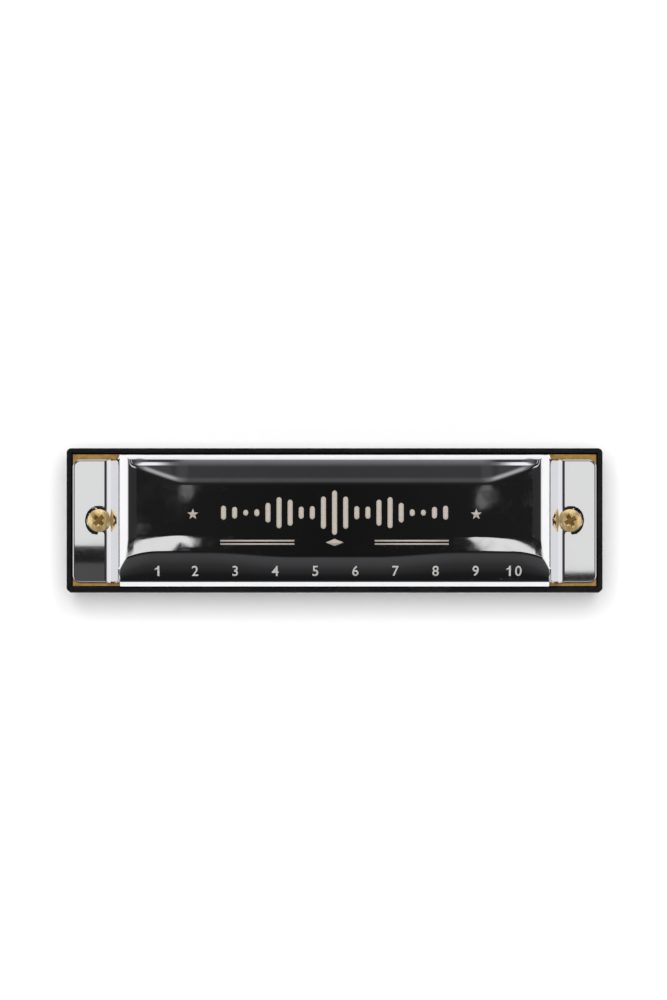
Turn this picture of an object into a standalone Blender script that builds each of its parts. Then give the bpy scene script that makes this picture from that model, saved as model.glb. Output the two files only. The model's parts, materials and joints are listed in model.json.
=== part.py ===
"""A ten-hole diatonic harmonica: comb, reed plates, reeds, rivets, covers and fasteners.

Units are metres. X runs along the instrument with hole 1 at -X, +Y points to the rear, away from the player's
mouth, and +Z is up. The instrument lies on its lower cover, whose flat top touches z = 0.
"""

import math

import bmesh
import bpy
from mathutils import Vector

# Whole instrument
LENGTH = 0.1019
DEPTH = 0.0275
HEIGHT = 0.020
MID_Z = HEIGHT / 2

# Gaps between pieces that touch on the real instrument
SEAT_GAP = 0.0003
FASTENER_GAP = 0.0005
RIVET_GAP = 0.0001
THREAD_GAP = 0.0001

# Comb
RIM_SIDE = 0.0009
RIM_REAR = 0.0009
BAR_FRONT = 0.0010
RIM_HALF_HEIGHT = 0.0048
WEB_HALF = 0.0031
REAR_CORNER = 0.0009
NOSE_CORNER = 0.0007
NOSE_ROUNDING = 0.0009
CUT_PAST = 0.001

# Channels and mouth holes
HOLES = 10
PITCH = 0.0075
CHANNEL_WIDTH = 0.0048
MOUTH_HEIGHT = 0.0050
CHANNEL_FRONT_Y = -0.0104
CHANNEL_PAST_PAD = 0.0006
CHANNEL_CUT_PAST = 0.0005

# Reed plates
PLATE_THICKNESS = 0.0009
PLATE_INNER = WEB_HALF + SEAT_GAP
PLATE_OUTER = PLATE_INNER + PLATE_THICKNESS

# Reeds
LONGEST_REED = 0.0140
SHORTEST_REED = 0.0080
REED_WIDTH = 0.0020
REED_THICKNESS = 0.0002
REED_LIFT = 0.00025
PAD_LENGTH = 0.0030
PAD_WIDTH = 0.0032
PAD_SHOULDER = 0.0004
BLOW_TIP_Y = -0.0094
DRAW_ROOT_Y = -0.0075
SLOT_SIDE_GAP = 0.00015
SLOT_ROOT_SETBACK = 0.0003

# Rivets
RIVET_FROM_ROOT = 0.0015
RIVET_RADIUS = 0.00045
RIVET_HEAD_RADIUS = 0.0008
RIVET_HEAD_HEIGHT = 0.00025
RIVET_HEAD_LIFT = 0.0002
REED_HOLE_RADIUS = 0.0006
RIVET_SIDES = 12

# Covers
SHEET = 0.0004
TAB_TOP = PLATE_OUTER + SEAT_GAP + SHEET
COVER_TOP = HEIGHT / 2
TAB_END_X = 0.04984
TAB_FRONT_Y = -0.0119
TAB_REAR_Y = 0.01167
TAB_CORNER = 0.0015
TAB_NARROW_Y = 0.0095
FILLET_START_X = 0.04387
SLIT_OUTER_X = 0.04105
SLIT_INNER_X = 0.04075
SLIT_REAR_Y = -0.0092
DROP_BLEND = 0.0004
DROP_BLEND_FULL = 0.0006
CREASE_ANGLE = math.radians(35)
FLAT_ANGLE = math.radians(0.3)

# Each pair is a distance along a profile and the skin's slope there. The slope changes evenly in between.
END_SLOPES = (
    (0.0, 0.0), (0.0004, 0.05), (0.0007, 0.14), (0.0012, 0.42), (0.0024, 1.0), (0.00425, 1.0), (0.0045, 0.8),
    (0.00495, 0.045), (0.00642, 0.028),
)
CROWN_SLOPES = ((0.0, 0.0), (0.00105, 0.098), (0.00185, 0.126), (0.0045, 0.18))
STRIP_SLOPES = ((0.0, 0.22), (0.00515, 0.84), (0.0056, 0.2))

# Front: a faint crown, the strip that carries the numbers, then a rolled lip with a short skirt
FRONT_DROP = 0.0032
CROWN_START_Y = -0.00268
STRIP_TOP_Y = -0.00585
STRIP_DIP = 0.0009
STRIP_DIP_REACH = 0.016
STRIP_DIP_END_X = 0.024
STRIP_END_DIP = 0.0012
STRIP_END_START_X = 0.033
STRIP_END_REACH = 0.0063
STRIP_END_X = 0.0422
CREST_Y = -0.01135
LIP_FRONT_Y = -0.0126
SKIRT_SLANT = 0.00005
SKIRT_HEIGHT = 0.0006
FRONT_LIP_TILTS = (34, 48, 53)

# Rear: a scoop with a swept front edge that falls to a rolled lip
SCOOP_START_Y = 0.00713
SCOOP_FALL = 0.0007
SWEEP_START_X = 0.0285
SWEEP_SLOPE = 0.37
SWEEP_ROUNDING = 0.0015
RIDGE_MOST_Y = 0.00985
FLANK_DROP = 0.00017
FLANK_WIDTH = 0.0011
FLANK_IN_MIDDLE = 0.15
FLANK_X = (0.0275, 0.0310)
CORNER_FALL_Y = (0.01045, 0.01105)
TURN_IN = 0.00011
TURN_IN_START_Y = 0.0102
SCOOP_END_X = (0.0364, 0.0378)
REAR_CREST_Y = 0.01156
REAR_LIP_Y = 0.0125
REAR_LIP_TILTS = (38, 60, 84)
LIP_FADE_X = (0.0385, 0.0411)
LIP_FADE = 0.9

# Cover screws and nuts
COVER_SCREW_X = 0.0448
SCREW_RADIUS = 0.00095
SCREW_HOLE_RADIUS = 0.00125
SCREW_HEAD_RADIUS = 0.0022
SCREW_HEAD_HEIGHT = 0.0010
CROSS_LENGTH = 0.0024
CROSS_WIDTH = 0.0006
CROSS_DEPTH = 0.0006
NUT_ACROSS_FLATS = 0.0040
NUT_THICKNESS = 0.0016
SCREW_PAST_NUT = 0.0004
SCREW_SIDES = 24

# Reed plate screws
PLATE_SCREW_PLACES = ((-0.0389, -0.0080), (0.0389, -0.0080), (-0.030, 0.0104), (0.0, 0.0104), (0.030, 0.0104))
PLATE_SCREW_RADIUS = 0.0008
PLATE_SCREW_HOLE_RADIUS = 0.00095
PLATE_SCREW_HEAD_RADIUS = 0.0015
PLATE_SCREW_HEAD_HEIGHT = 0.0007
PLATE_SCREW_LIFT = 0.0002
SLOT_WIDTH = 0.0005
SLOT_DEPTH = 0.0003


# Materials


def finish(name, colour, metallic, roughness):
    material = bpy.data.materials.new(name)
    material.use_nodes = True
    shader = material.node_tree.nodes["Principled BSDF"]
    shader.inputs["Base Color"].default_value = (*colour, 1.0)
    shader.inputs["Metallic"].default_value = metallic
    shader.inputs["Roughness"].default_value = roughness
    return material


def make_finishes():
    return {
        "black_plastic": finish("black_plastic", (0.012, 0.012, 0.013), 0.0, 0.35),
        "plate_brass": finish("plate_brass", (0.62, 0.43, 0.17), 1.0, 0.32),
        "reed_brass": finish("reed_brass", (0.75, 0.58, 0.26), 1.0, 0.25),
        "chrome": finish("chrome", (0.78, 0.79, 0.81), 1.0, 0.06),
        "screw_brass": finish("screw_brass", (0.72, 0.52, 0.24), 1.0, 0.25),
        "nickel": finish("nickel", (0.66, 0.64, 0.58), 1.0, 0.3),
    }


# Shared mesh tools


def linked_object(name, shape, material):
    """A new object from a bmesh whose faces already point outwards. Its sharper edges stay crisp."""
    mesh = bpy.data.meshes.new(name)
    shape.to_mesh(mesh)
    shape.free()
    mesh.materials.append(material)
    mesh.shade_smooth()
    mesh.set_sharp_from_angle(angle=CREASE_ANGLE)
    made = bpy.data.objects.new(name, mesh)
    bpy.context.collection.objects.link(made)
    return made


def add_object(name, shape, material):
    """A new object from a closed bmesh."""
    bmesh.ops.recalc_face_normals(shape, faces=shape.faces)
    return linked_object(name, shape, material)


def add_prism(shape, outline, low, high):
    """Extrudes a plan outline, given as (x, y) pairs, from height low to height high."""
    ring = [shape.verts.new((x, y, low)) for x, y in outline]
    bottom = shape.faces.new(ring)
    raised = bmesh.ops.extrude_face_region(shape, geom=[bottom])["geom"]
    lifted = [item for item in raised if isinstance(item, bmesh.types.BMVert)]
    bmesh.ops.translate(shape, verts=lifted, vec=(0, 0, high - low))


def add_box(shape, low, high):
    outline = ((low[0], low[1]), (high[0], low[1]), (high[0], high[1]), (low[0], high[1]))
    add_prism(shape, outline, low[2], high[2])


def circle(centre, radius, sides):
    angles = [2 * math.pi * (step + 0.5) / sides for step in range(sides)]
    return [(centre[0] + radius * math.cos(a), centre[1] + radius * math.sin(a)) for a in angles]


def arc(centre, radius, start, end, steps):
    """Points of an arc, with its angles in degrees."""
    points = []
    for step in range(steps + 1):
        angle = math.radians(start + (end - start) * step / steps)
        points.append((centre[0] + radius * math.cos(angle), centre[1] + radius * math.sin(angle)))
    return points


def turned(profile, sides):
    """A closed turned solid from (radius, height) pairs that run from its bottom to its top."""
    shape = bmesh.new()
    rings = []
    for radius, height in profile:
        rings.append([shape.verts.new((x, y, height)) for x, y in circle((0, 0), radius, sides)])
    shape.faces.new(rings[0])
    shape.faces.new(rings[-1])
    for lower, upper in zip(rings, rings[1:]):
        for side in range(sides):
            after = (side + 1) % sides
            shape.faces.new((lower[side], lower[after], upper[after], upper[side]))
    return shape


def cut(target, name, shape):
    """Cuts a shape out of an object. The cutter stays in the scene as a wire guide."""
    bmesh.ops.recalc_face_normals(shape, faces=shape.faces)
    mesh = bpy.data.meshes.new(name)
    shape.to_mesh(mesh)
    shape.free()
    cutter = bpy.data.objects.new(name, mesh)
    bpy.context.collection.objects.link(cutter)
    cutter.hide_render = True
    cutter.display_type = "WIRE"
    cut_with(target, cutter)
    return cutter


def cut_with(target, cutter):
    boolean = target.modifiers.new(cutter.name, "BOOLEAN")
    boolean.operation = "DIFFERENCE"
    boolean.solver = "EXACT"
    boolean.object = cutter


# Layout that several pieces share


def hole_x(number):
    return (number - (HOLES + 1) / 2) * PITCH


def reed_length(number):
    return LONGEST_REED + (SHORTEST_REED - LONGEST_REED) * (number - 1) / (HOLES - 1)


def blow_root_y(number):
    """Blow reeds point their free tips at the mouth, so their roots are at the rear."""
    return BLOW_TIP_Y + reed_length(number)


def blow_rivet_y(number):
    return blow_root_y(number) + RIVET_FROM_ROOT


def draw_rivet_y():
    """Draw reeds are fixed at the mouth side, in one straight row."""
    return DRAW_ROOT_Y - RIVET_FROM_ROOT


def channel_rear_y(number):
    return blow_root_y(number) + PAD_LENGTH + CHANNEL_PAST_PAD


# Comb


def comb_outline():
    half = LENGTH / 2
    rear = DEPTH / 2
    front = -DEPTH / 2
    nose = half - NOSE_CORNER
    outline = [(-nose, front), (nose, front)]
    outline += [(half, front + NOSE_CORNER)]
    outline += arc((half - REAR_CORNER, rear - REAR_CORNER), REAR_CORNER, 0, 90, 3)
    outline += arc((REAR_CORNER - half, rear - REAR_CORNER), REAR_CORNER, 90, 180, 3)
    outline += [(-half, front + NOSE_CORNER)]
    return outline


def comb_blank():
    """The comb's outer block with its nose rounded above and below."""
    shape = bmesh.new()
    add_prism(shape, comb_outline(), MID_Z - RIM_HALF_HEIGHT, MID_Z + RIM_HALF_HEIGHT)
    nose_edges = []
    for edge in shape.edges:
        first, second = edge.verts
        level = abs(first.co.z - second.co.z) < 1e-6
        in_front = max(first.co.y, second.co.y) < -DEPTH / 2 + 1e-6
        if level and in_front:
            nose_edges.append(edge)
    bmesh.ops.bevel(shape, geom=nose_edges, offset=NOSE_ROUNDING, segments=3, profile=0.5, affect="EDGES")
    return shape


def recess_box():
    """Plan limits of the recess that holds a reed plate."""
    half = LENGTH / 2 - RIM_SIDE
    return -half, half, -DEPTH / 2 + BAR_FRONT, DEPTH / 2 - RIM_REAR


def comb_recesses():
    left, right, front, rear = recess_box()
    past = RIM_HALF_HEIGHT + CUT_PAST
    shape = bmesh.new()
    add_box(shape, (left, front, MID_Z + WEB_HALF), (right, rear, MID_Z + past))
    add_box(shape, (left, front, MID_Z - past), (right, rear, MID_Z - WEB_HALF))
    return shape


def comb_channels():
    shape = bmesh.new()
    for number in range(1, HOLES + 1):
        x = hole_x(number)
        low = (x - CHANNEL_WIDTH / 2, CHANNEL_FRONT_Y, MID_Z - WEB_HALF - CHANNEL_CUT_PAST)
        high = (x + CHANNEL_WIDTH / 2, channel_rear_y(number), MID_Z + WEB_HALF + CHANNEL_CUT_PAST)
        add_box(shape, low, high)
    return shape


def comb_mouth_holes():
    shape = bmesh.new()
    for number in range(1, HOLES + 1):
        x = hole_x(number)
        low = (x - CHANNEL_WIDTH / 2, -DEPTH / 2 - CUT_PAST, MID_Z - MOUTH_HEIGHT / 2)
        high = (x + CHANNEL_WIDTH / 2, CHANNEL_FRONT_Y + CHANNEL_CUT_PAST, MID_Z + MOUTH_HEIGHT / 2)
        add_box(shape, low, high)
    return shape


def screw_bores(half_height):
    """Clearance bores for the two cover screws and the reed plate screws."""
    shape = bmesh.new()
    for side in (-1, 1):
        outline = circle((side * COVER_SCREW_X, 0), SCREW_HOLE_RADIUS, SCREW_SIDES)
        add_prism(shape, outline, MID_Z - half_height, MID_Z + half_height)
    for place in PLATE_SCREW_PLACES:
        outline = circle(place, PLATE_SCREW_HOLE_RADIUS, SCREW_SIDES // 2)
        add_prism(shape, outline, MID_Z - half_height, MID_Z + half_height)
    return shape


def make_comb(finishes):
    comb = add_object("comb", comb_blank(), finishes["black_plastic"])
    cut(comb, "cut_recesses", comb_recesses())
    cut(comb, "cut_channels", comb_channels())
    cut(comb, "cut_mouth_holes", comb_mouth_holes())
    return comb


# Reed plates


def slot_box(number, plate_side):
    """Plan limits of the slot under one reed. The plate side is +1 above, with blow reeds, and -1 below."""
    x = hole_x(number)
    half = REED_WIDTH / 2 + SLOT_SIDE_GAP
    if plate_side > 0:
        return x - half, x + half, BLOW_TIP_Y - SLOT_SIDE_GAP, blow_root_y(number) - SLOT_ROOT_SETBACK
    tip = DRAW_ROOT_Y + reed_length(number)
    return x - half, x + half, DRAW_ROOT_Y + SLOT_ROOT_SETBACK, tip + SLOT_SIDE_GAP


def rivet_y(number, plate_side):
    if plate_side > 0:
        return blow_rivet_y(number)
    return draw_rivet_y()


def plate_openings(plate_side):
    """The ten reed slots and the ten rivet holes of one plate."""
    shape = bmesh.new()
    low_z = MID_Z + plate_side * (PLATE_INNER + PLATE_OUTER) / 2 - CUT_PAST
    high_z = low_z + 2 * CUT_PAST
    for number in range(1, HOLES + 1):
        left, right, front, rear = slot_box(number, plate_side)
        add_box(shape, (left, front, low_z), (right, rear, high_z))
        centre = (hole_x(number), rivet_y(number, plate_side))
        add_prism(shape, circle(centre, RIVET_RADIUS + RIVET_GAP, RIVET_SIDES), low_z, high_z)
    return shape


def make_plate(name, plate_side, finishes):
    left, right, front, rear = recess_box()
    levels = sorted((MID_Z + plate_side * PLATE_INNER, MID_Z + plate_side * PLATE_OUTER))
    shape = bmesh.new()
    low = (left + SEAT_GAP, front + SEAT_GAP, levels[0])
    high = (right - SEAT_GAP, rear - SEAT_GAP, levels[1])
    add_box(shape, low, high)
    plate = add_object(name, shape, finishes["plate_brass"])
    cut(plate, "cut_" + name, plate_openings(plate_side))
    return plate


# Reeds and rivets


def reed_shape(length, direction):
    """A reed with its root on the origin's X axis and its tongue running along direction times Y."""
    half_pad = PAD_WIDTH / 2
    half_tongue = REED_WIDTH / 2
    outline = [
        (-half_pad, -PAD_LENGTH * direction),
        (half_pad, -PAD_LENGTH * direction),
        (half_pad, -PAD_SHOULDER * direction),
        (half_tongue, 0.0),
        (half_tongue, length * direction),
        (-half_tongue, length * direction),
        (-half_tongue, 0.0),
        (-half_pad, -PAD_SHOULDER * direction),
    ]
    shape = bmesh.new()
    add_prism(shape, outline, -REED_THICKNESS / 2, REED_THICKNESS / 2)
    return shape


def reed_level(plate_side):
    """Height of a reed's middle. Blow reeds hang below the upper plate and draw reeds below the lower one."""
    lift = REED_LIFT + REED_THICKNESS / 2
    if plate_side > 0:
        return MID_Z + PLATE_INNER - lift
    return MID_Z - PLATE_OUTER - lift


def rivet_hole(direction):
    """One cutter for all the reeds of a kind, placed as a pin through the pad of a reed at the origin."""
    shape = bmesh.new()
    outline = circle((0, -RIVET_FROM_ROOT * direction), REED_HOLE_RADIUS, RIVET_SIDES)
    add_prism(shape, outline, -CUT_PAST, CUT_PAST)
    return shape


def rivet_shape():
    """A rivet whose factory head is down. Its origin is on the plate face that the reed lies against."""
    head_under = -(REED_LIFT + REED_THICKNESS + RIVET_HEAD_LIFT)
    tail_under = PLATE_THICKNESS + RIVET_GAP
    return turned(
        (
            (RIVET_HEAD_RADIUS * 0.55, head_under - RIVET_HEAD_HEIGHT),
            (RIVET_HEAD_RADIUS, head_under - RIVET_HEAD_HEIGHT * 0.4),
            (RIVET_HEAD_RADIUS, head_under),
            (RIVET_RADIUS, head_under),
            (RIVET_RADIUS, tail_under),
            (RIVET_HEAD_RADIUS * 0.9, tail_under),
            (RIVET_HEAD_RADIUS * 0.7, tail_under + RIVET_HEAD_HEIGHT * 0.8),
        ),
        RIVET_SIDES,
    )


def make_reeds(kind, plate_side, finishes):
    direction = -plate_side
    rivet_mesh = None
    for number in range(1, HOLES + 1):
        length = reed_length(number)
        root_y = blow_root_y(number) if plate_side > 0 else DRAW_ROOT_Y
        root = Vector((hole_x(number), root_y, reed_level(plate_side)))
        reed = add_object(f"{kind}_reed_{number:02d}", reed_shape(length, direction), finishes["reed_brass"])
        hole_name = f"cut_{kind}_reed_{number:02d}"
        cutter = cut(reed, hole_name, rivet_hole(direction))
        reed.location = root
        cutter.location = root
        seat_z = root.z + REED_LIFT + REED_THICKNESS / 2
        rivet_name = f"{kind}_rivet_{number:02d}"
        if rivet_mesh is None:
            rivet = add_object(rivet_name, rivet_shape(), finishes["reed_brass"])
            rivet_mesh = rivet.data
        else:
            rivet = bpy.data.objects.new(rivet_name, rivet_mesh)
            bpy.context.collection.objects.link(rivet)
        rivet.location = (root.x, rivet_y(number, plate_side), seat_z)


# Covers


def gained(slopes, distance):
    """Height gained at a distance along a profile."""
    height = 0.0
    for (start, first), (end, second) in zip(slopes, slopes[1:]):
        span = end - start
        reach = min(max(distance - start, 0.0), span)
        height += reach * (first + (second - first) * reach / span / 2)
    return height


def smooth(low, high, value):
    """A smooth step from 0 at low to 1 at high."""
    share = min(max((value - low) / (high - low), 0.0), 1.0)
    return share * share * (3 - 2 * share)


def softer_max(first, second, reach):
    """The larger of two drops, with the crease between them rounded."""
    apart = abs(first - second)
    if apart >= reach:
        return max(first, second)
    return max(first, second) + (reach - apart) ** 2 / (4 * reach)


def ridge_y(x):
    """Front edge of the rear scoop: straight along the middle and sweeping to the rear near both ends."""
    past = max(abs(x) - SWEEP_START_X, 0.0)
    sweep = SWEEP_SLOPE * (math.hypot(past, SWEEP_ROUNDING) - SWEEP_ROUNDING)
    return min(SCOOP_START_Y + sweep, RIDGE_MOST_Y)


def scoop_drop(x, y):
    """The scoop's fall to the rear: a flank behind its ridge, an even floor and a turn before the lip."""
    depth = REAR_CREST_Y - SCOOP_START_Y
    past = max(y - ridge_y(x), 0.0)
    floor = SCOOP_FALL * past / depth
    near_end = smooth(*FLANK_X, abs(x))
    flank = FLANK_DROP * (FLANK_IN_MIDDLE + (1 - FLANK_IN_MIDDLE) * near_end) * smooth(0.0, FLANK_WIDTH, past)
    corner_start, corner_end = CORNER_FALL_Y
    into_corner = min(max((y - corner_start) / (corner_end - corner_start), 0.0), 1.0)
    corner = SCOOP_FALL * (ridge_y(x) - SCOOP_START_Y) / depth * into_corner
    into_turn = max(y - TURN_IN_START_Y, 0.0) / (REAR_CREST_Y - TURN_IN_START_Y)
    turn_in = TURN_IN * (1 - near_end) * into_turn**2
    return (floor + flank + corner + turn_in) * (1 - smooth(*SCOOP_END_X, abs(x)))


def end_drop(x):
    """Fall from the plateau to a tab."""
    height = COVER_TOP - TAB_TOP
    return height * (1 - gained(END_SLOPES, FILLET_START_X - abs(x)) / gained(END_SLOPES, FILLET_START_X))


def strip_top_y(x):
    """Upper edge of the number strip: it dips in the middle and towards both ends."""
    near = min(abs(x), STRIP_END_X)
    middle_dip = STRIP_DIP * smooth(0.0, STRIP_DIP_REACH, STRIP_DIP_END_X - near)
    end_dip = STRIP_END_DIP * (max(near - STRIP_END_START_X, 0.0) / STRIP_END_REACH) ** 2
    return STRIP_TOP_Y - middle_dip - end_dip


def front_drop(x, y):
    """Fall from the plateau down the crown and the number strip."""
    top = strip_top_y(x)
    if y >= top:
        return gained(CROWN_SLOPES, CROWN_START_Y - y)
    length = STRIP_SLOPES[-1][0]
    at_top = gained(CROWN_SLOPES, CROWN_START_Y - top)
    up = gained(STRIP_SLOPES, (y - CREST_Y) * length / (top - CREST_Y)) / gained(STRIP_SLOPES, length)
    return at_top + (FRONT_DROP - at_top) * (1 - up)


def skin_level(x, y):
    """Height of a cover's outer skin over the mid-plane, without its rolled lips."""
    down_end = end_drop(x)
    down_front = 0.0
    if abs(x) <= STRIP_END_X:
        down_front = front_drop(x, max(y, SLIT_REAR_Y) if abs(x) > SLIT_INNER_X else y)
    reach = DROP_BLEND * min(1.0, min(down_end, down_front) / DROP_BLEND_FULL)
    drop = softer_max(down_end, down_front, reach) + scoop_drop(x, y)
    return COVER_TOP - min(drop, COVER_TOP - TAB_TOP)


def tab_y(x, y):
    """Draws a row in to a tab's narrower outline and its rounded outer corners."""
    near_end = max(abs(x) - (TAB_END_X - TAB_CORNER), 0.0)
    corner = TAB_CORNER - math.sqrt(max(TAB_CORNER**2 - near_end**2, 0.0))
    if y < SLIT_REAR_Y:
        share = (SLIT_REAR_Y - y) / (SLIT_REAR_Y - LIP_FRONT_Y)
        return SLIT_REAR_Y + share * (TAB_FRONT_Y + corner - SLIT_REAR_Y)
    if y > TAB_NARROW_Y:
        share = (y - TAB_NARROW_Y) / (REAR_LIP_Y - TAB_NARROW_Y)
        return TAB_NARROW_Y + share * (TAB_REAR_Y - corner - TAB_NARROW_Y)
    return y


def cover_columns():
    """X places of the grid's columns, from the left tab's end to the right one's."""
    corner = [TAB_END_X - TAB_CORNER * (1 - math.sin(math.radians(a))) for a in (90, 60, 30, 0)]
    fillet = [FILLET_START_X - distance for distance, _ in END_SLOPES[:5]]
    wall = [SLIT_OUTER_X, SLIT_INNER_X] + [FILLET_START_X - distance for distance, _ in END_SLOPES[5:]]
    sweep = [SCOOP_END_X[0], 0.0345, 0.0325, 0.0305, SWEEP_START_X, STRIP_DIP_END_X, 0.0160, 0.0080]
    half = corner + fillet + wall + sweep
    return [-x for x in half] + half[::-1]


def lip_rows(crest, edge, tilts):
    """(y, drop) pairs of a rolled lip, from its crest to its edge, each step at its own tilt in degrees."""
    turns = [math.radians(tilt) for tilt in tilts]
    step = abs(edge - crest) / sum(math.cos(turn) for turn in turns)
    rows = []
    y = crest
    drop = 0.0
    for turn in turns:
        y += math.copysign(step * math.cos(turn), edge - crest)
        drop += step * math.sin(turn)
        rows.append((y, drop))
    return rows


def between(start, end, steps):
    """Evenly spaced values from start up to, but not including, end."""
    return [start + (end - start) * step / steps for step in range(steps)]


def cover_rows(x):
    """(y, extra drop) of one column's points, from the front lip to the rear lip."""
    front_lip = lip_rows(CREST_Y, LIP_FRONT_Y + SKIRT_SLANT, FRONT_LIP_TILTS)[::-1]
    skirt = (LIP_FRONT_Y, front_lip[0][1] + SKIRT_HEIGHT)
    top = strip_top_y(x)
    ridge = ridge_y(x)
    corner_start, corner_end = CORNER_FALL_Y
    places = between(CREST_Y, SLIT_REAR_Y, 2)
    places += between(SLIT_REAR_Y, top, 2)
    places += between(top, CROWN_START_Y, 3)
    places += between(CROWN_START_Y, ridge, 2)
    places += between(ridge, corner_start, 2)
    places += [corner_start, corner_end, REAR_CREST_Y]
    rear_lip = lip_rows(REAR_CREST_Y, REAR_LIP_Y, REAR_LIP_TILTS)
    return [skirt] + front_lip + [(y, 0.0) for y in places] + rear_lip


def cover_point(x, y, extra, plate_side):
    level = skin_level(x, min(max(y, CREST_Y), REAR_CREST_Y))
    if y > REAR_CREST_Y:
        extra *= 1 - LIP_FADE * smooth(*LIP_FADE_X, abs(x))
    if abs(x) > SLIT_INNER_X:
        return x, tab_y(x, y), MID_Z + plate_side * level
    return x, y, MID_Z + plate_side * (level - extra)


def cover_sheet(plate_side):
    """The cover's outer skin as an open sheet. The slits beside the tabs are cells left out."""
    shape = bmesh.new()
    columns = cover_columns()
    grid = [[shape.verts.new(cover_point(x, *row, plate_side)) for row in cover_rows(x)] for x in columns]
    slit_rows = sum(1 for y, _ in cover_rows(SLIT_INNER_X) if y < SLIT_REAR_Y)
    for i in range(len(columns) - 1):
        in_slit = {abs(columns[i]), abs(columns[i + 1])} == {SLIT_OUTER_X, SLIT_INNER_X}
        for j in range(slit_rows if in_slit else 0, len(grid[i]) - 1):
            corners = (grid[i][j], grid[i + 1][j], grid[i + 1][j + 1], grid[i][j + 1])
            shape.faces.new(corners if plate_side > 0 else corners[::-1])
    shape.normal_update()
    bmesh.ops.dissolve_limit(shape, angle_limit=FLAT_ANGLE, verts=shape.verts, edges=shape.edges)
    return shape


def make_cover(name, plate_side, finishes):
    cover = linked_object(name, cover_sheet(plate_side), finishes["chrome"])
    solid = cover.modifiers.new("sheet_thickness", "SOLIDIFY")
    solid.thickness = SHEET
    solid.offset = -1.0
    solid.use_even_offset = True
    holes = bmesh.new()
    tab_z = MID_Z + plate_side * TAB_TOP
    for side in (-1, 1):
        outline = circle((side * COVER_SCREW_X, 0), SCREW_HOLE_RADIUS, SCREW_SIDES)
        add_prism(holes, outline, tab_z - CUT_PAST, tab_z + CUT_PAST)
    cut(cover, "cut_" + name, holes)
    return cover


# Fasteners


def cross_recess(top):
    """A cross-shaped pocket in a screw head whose top is at the given height."""
    long = CROSS_LENGTH / 2
    narrow = CROSS_WIDTH / 2
    outline = [
        (-narrow, -long), (narrow, -long), (narrow, -narrow), (long, -narrow),
        (long, narrow), (narrow, narrow), (narrow, long), (-narrow, long),
        (-narrow, narrow), (-long, narrow), (-long, -narrow), (-narrow, -narrow),
    ]
    shape = bmesh.new()
    add_prism(shape, outline, top - CROSS_DEPTH, top + CUT_PAST)
    return shape


def make_cover_screw(name, x, finishes):
    """A pan-head screw whose origin is under its head, pointing down through the whole stack."""
    length = 2 * TAB_TOP + 2 * FASTENER_GAP + NUT_THICKNESS + SCREW_PAST_NUT
    profile = [(SCREW_RADIUS * 0.8, -length), (SCREW_RADIUS, -length + 0.0002), (SCREW_RADIUS, 0.0)]
    profile += [(SCREW_HEAD_RADIUS, 0.0), (SCREW_HEAD_RADIUS, SCREW_HEAD_HEIGHT * 0.3)]
    for angle in (30, 60):
        turn = math.radians(angle)
        radius = SCREW_HEAD_RADIUS * math.cos(turn * 0.7)
        profile.append((radius, SCREW_HEAD_HEIGHT * (0.3 + 0.7 * math.sin(turn))))
    profile.append((SCREW_HEAD_RADIUS * 0.45, SCREW_HEAD_HEIGHT))
    screw = add_object(name, turned(profile, SCREW_SIDES), finishes["screw_brass"])
    screw.location = (x, 0, MID_Z + TAB_TOP + FASTENER_GAP)
    recess = cut(screw, "cut_" + name, cross_recess(SCREW_HEAD_HEIGHT))
    recess.location = screw.location


def make_cover_nut(name, x, finishes):
    shape = bmesh.new()
    add_prism(shape, circle((0, 0), NUT_ACROSS_FLATS / math.sqrt(3), 6), -NUT_THICKNESS, 0.0)
    nut = add_object(name, shape, finishes["screw_brass"])
    nut.location = (x, 0, MID_Z - TAB_TOP - FASTENER_GAP)
    bore = bmesh.new()
    bore_outline = circle((0, 0), SCREW_RADIUS + THREAD_GAP, SCREW_SIDES)
    add_prism(bore, bore_outline, -NUT_THICKNESS - CUT_PAST, CUT_PAST)
    cutter = cut(nut, "cut_" + name, bore)
    cutter.location = nut.location


def make_plate_screw(name, place, finishes):
    """A slotted screw with its head under the lower plate and its tip level with the upper plate."""
    length = 2 * PLATE_OUTER + PLATE_SCREW_LIFT
    head = PLATE_SCREW_HEAD_RADIUS
    height = PLATE_SCREW_HEAD_HEIGHT
    profile = [(head * 0.6, -height), (head, -height * 0.5), (head, 0.0)]
    profile += [(PLATE_SCREW_RADIUS, 0.0), (PLATE_SCREW_RADIUS, length)]
    screw = add_object(name, turned(profile, SCREW_SIDES // 2), finishes["nickel"])
    screw.location = (place[0], place[1], MID_Z - PLATE_OUTER - PLATE_SCREW_LIFT)
    slot = bmesh.new()
    low = (-head - CUT_PAST, -SLOT_WIDTH / 2, -height - CUT_PAST)
    add_box(slot, low, (head + CUT_PAST, SLOT_WIDTH / 2, -height + SLOT_DEPTH))
    cutter = cut(screw, "cut_" + name, slot)
    cutter.location = screw.location


def clear_scene():
    for item in list(bpy.data.objects):
        bpy.data.objects.remove(item, do_unlink=True)


def make_harmonica():
    clear_scene()
    finishes = make_finishes()
    comb = make_comb(finishes)
    upper_plate = make_plate("upper_reed_plate", 1, finishes)
    lower_plate = make_plate("lower_reed_plate", -1, finishes)
    bores = cut(comb, "cut_screw_bores", screw_bores(RIM_HALF_HEIGHT))
    cut_with(upper_plate, bores)
    cut_with(lower_plate, bores)
    make_reeds("blow", 1, finishes)
    make_reeds("draw", -1, finishes)
    make_cover("upper_cover", 1, finishes)
    make_cover("lower_cover", -1, finishes)
    for label, side in (("left", -1), ("right", 1)):
        make_cover_screw("cover_screw_" + label, side * COVER_SCREW_X, finishes)
        make_cover_nut("cover_nut_" + label, side * COVER_SCREW_X, finishes)
    for index, place in enumerate(PLATE_SCREW_PLACES, start=1):
        make_plate_screw(f"reed_plate_screw_{index}", place, finishes)


make_harmonica()
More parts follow.
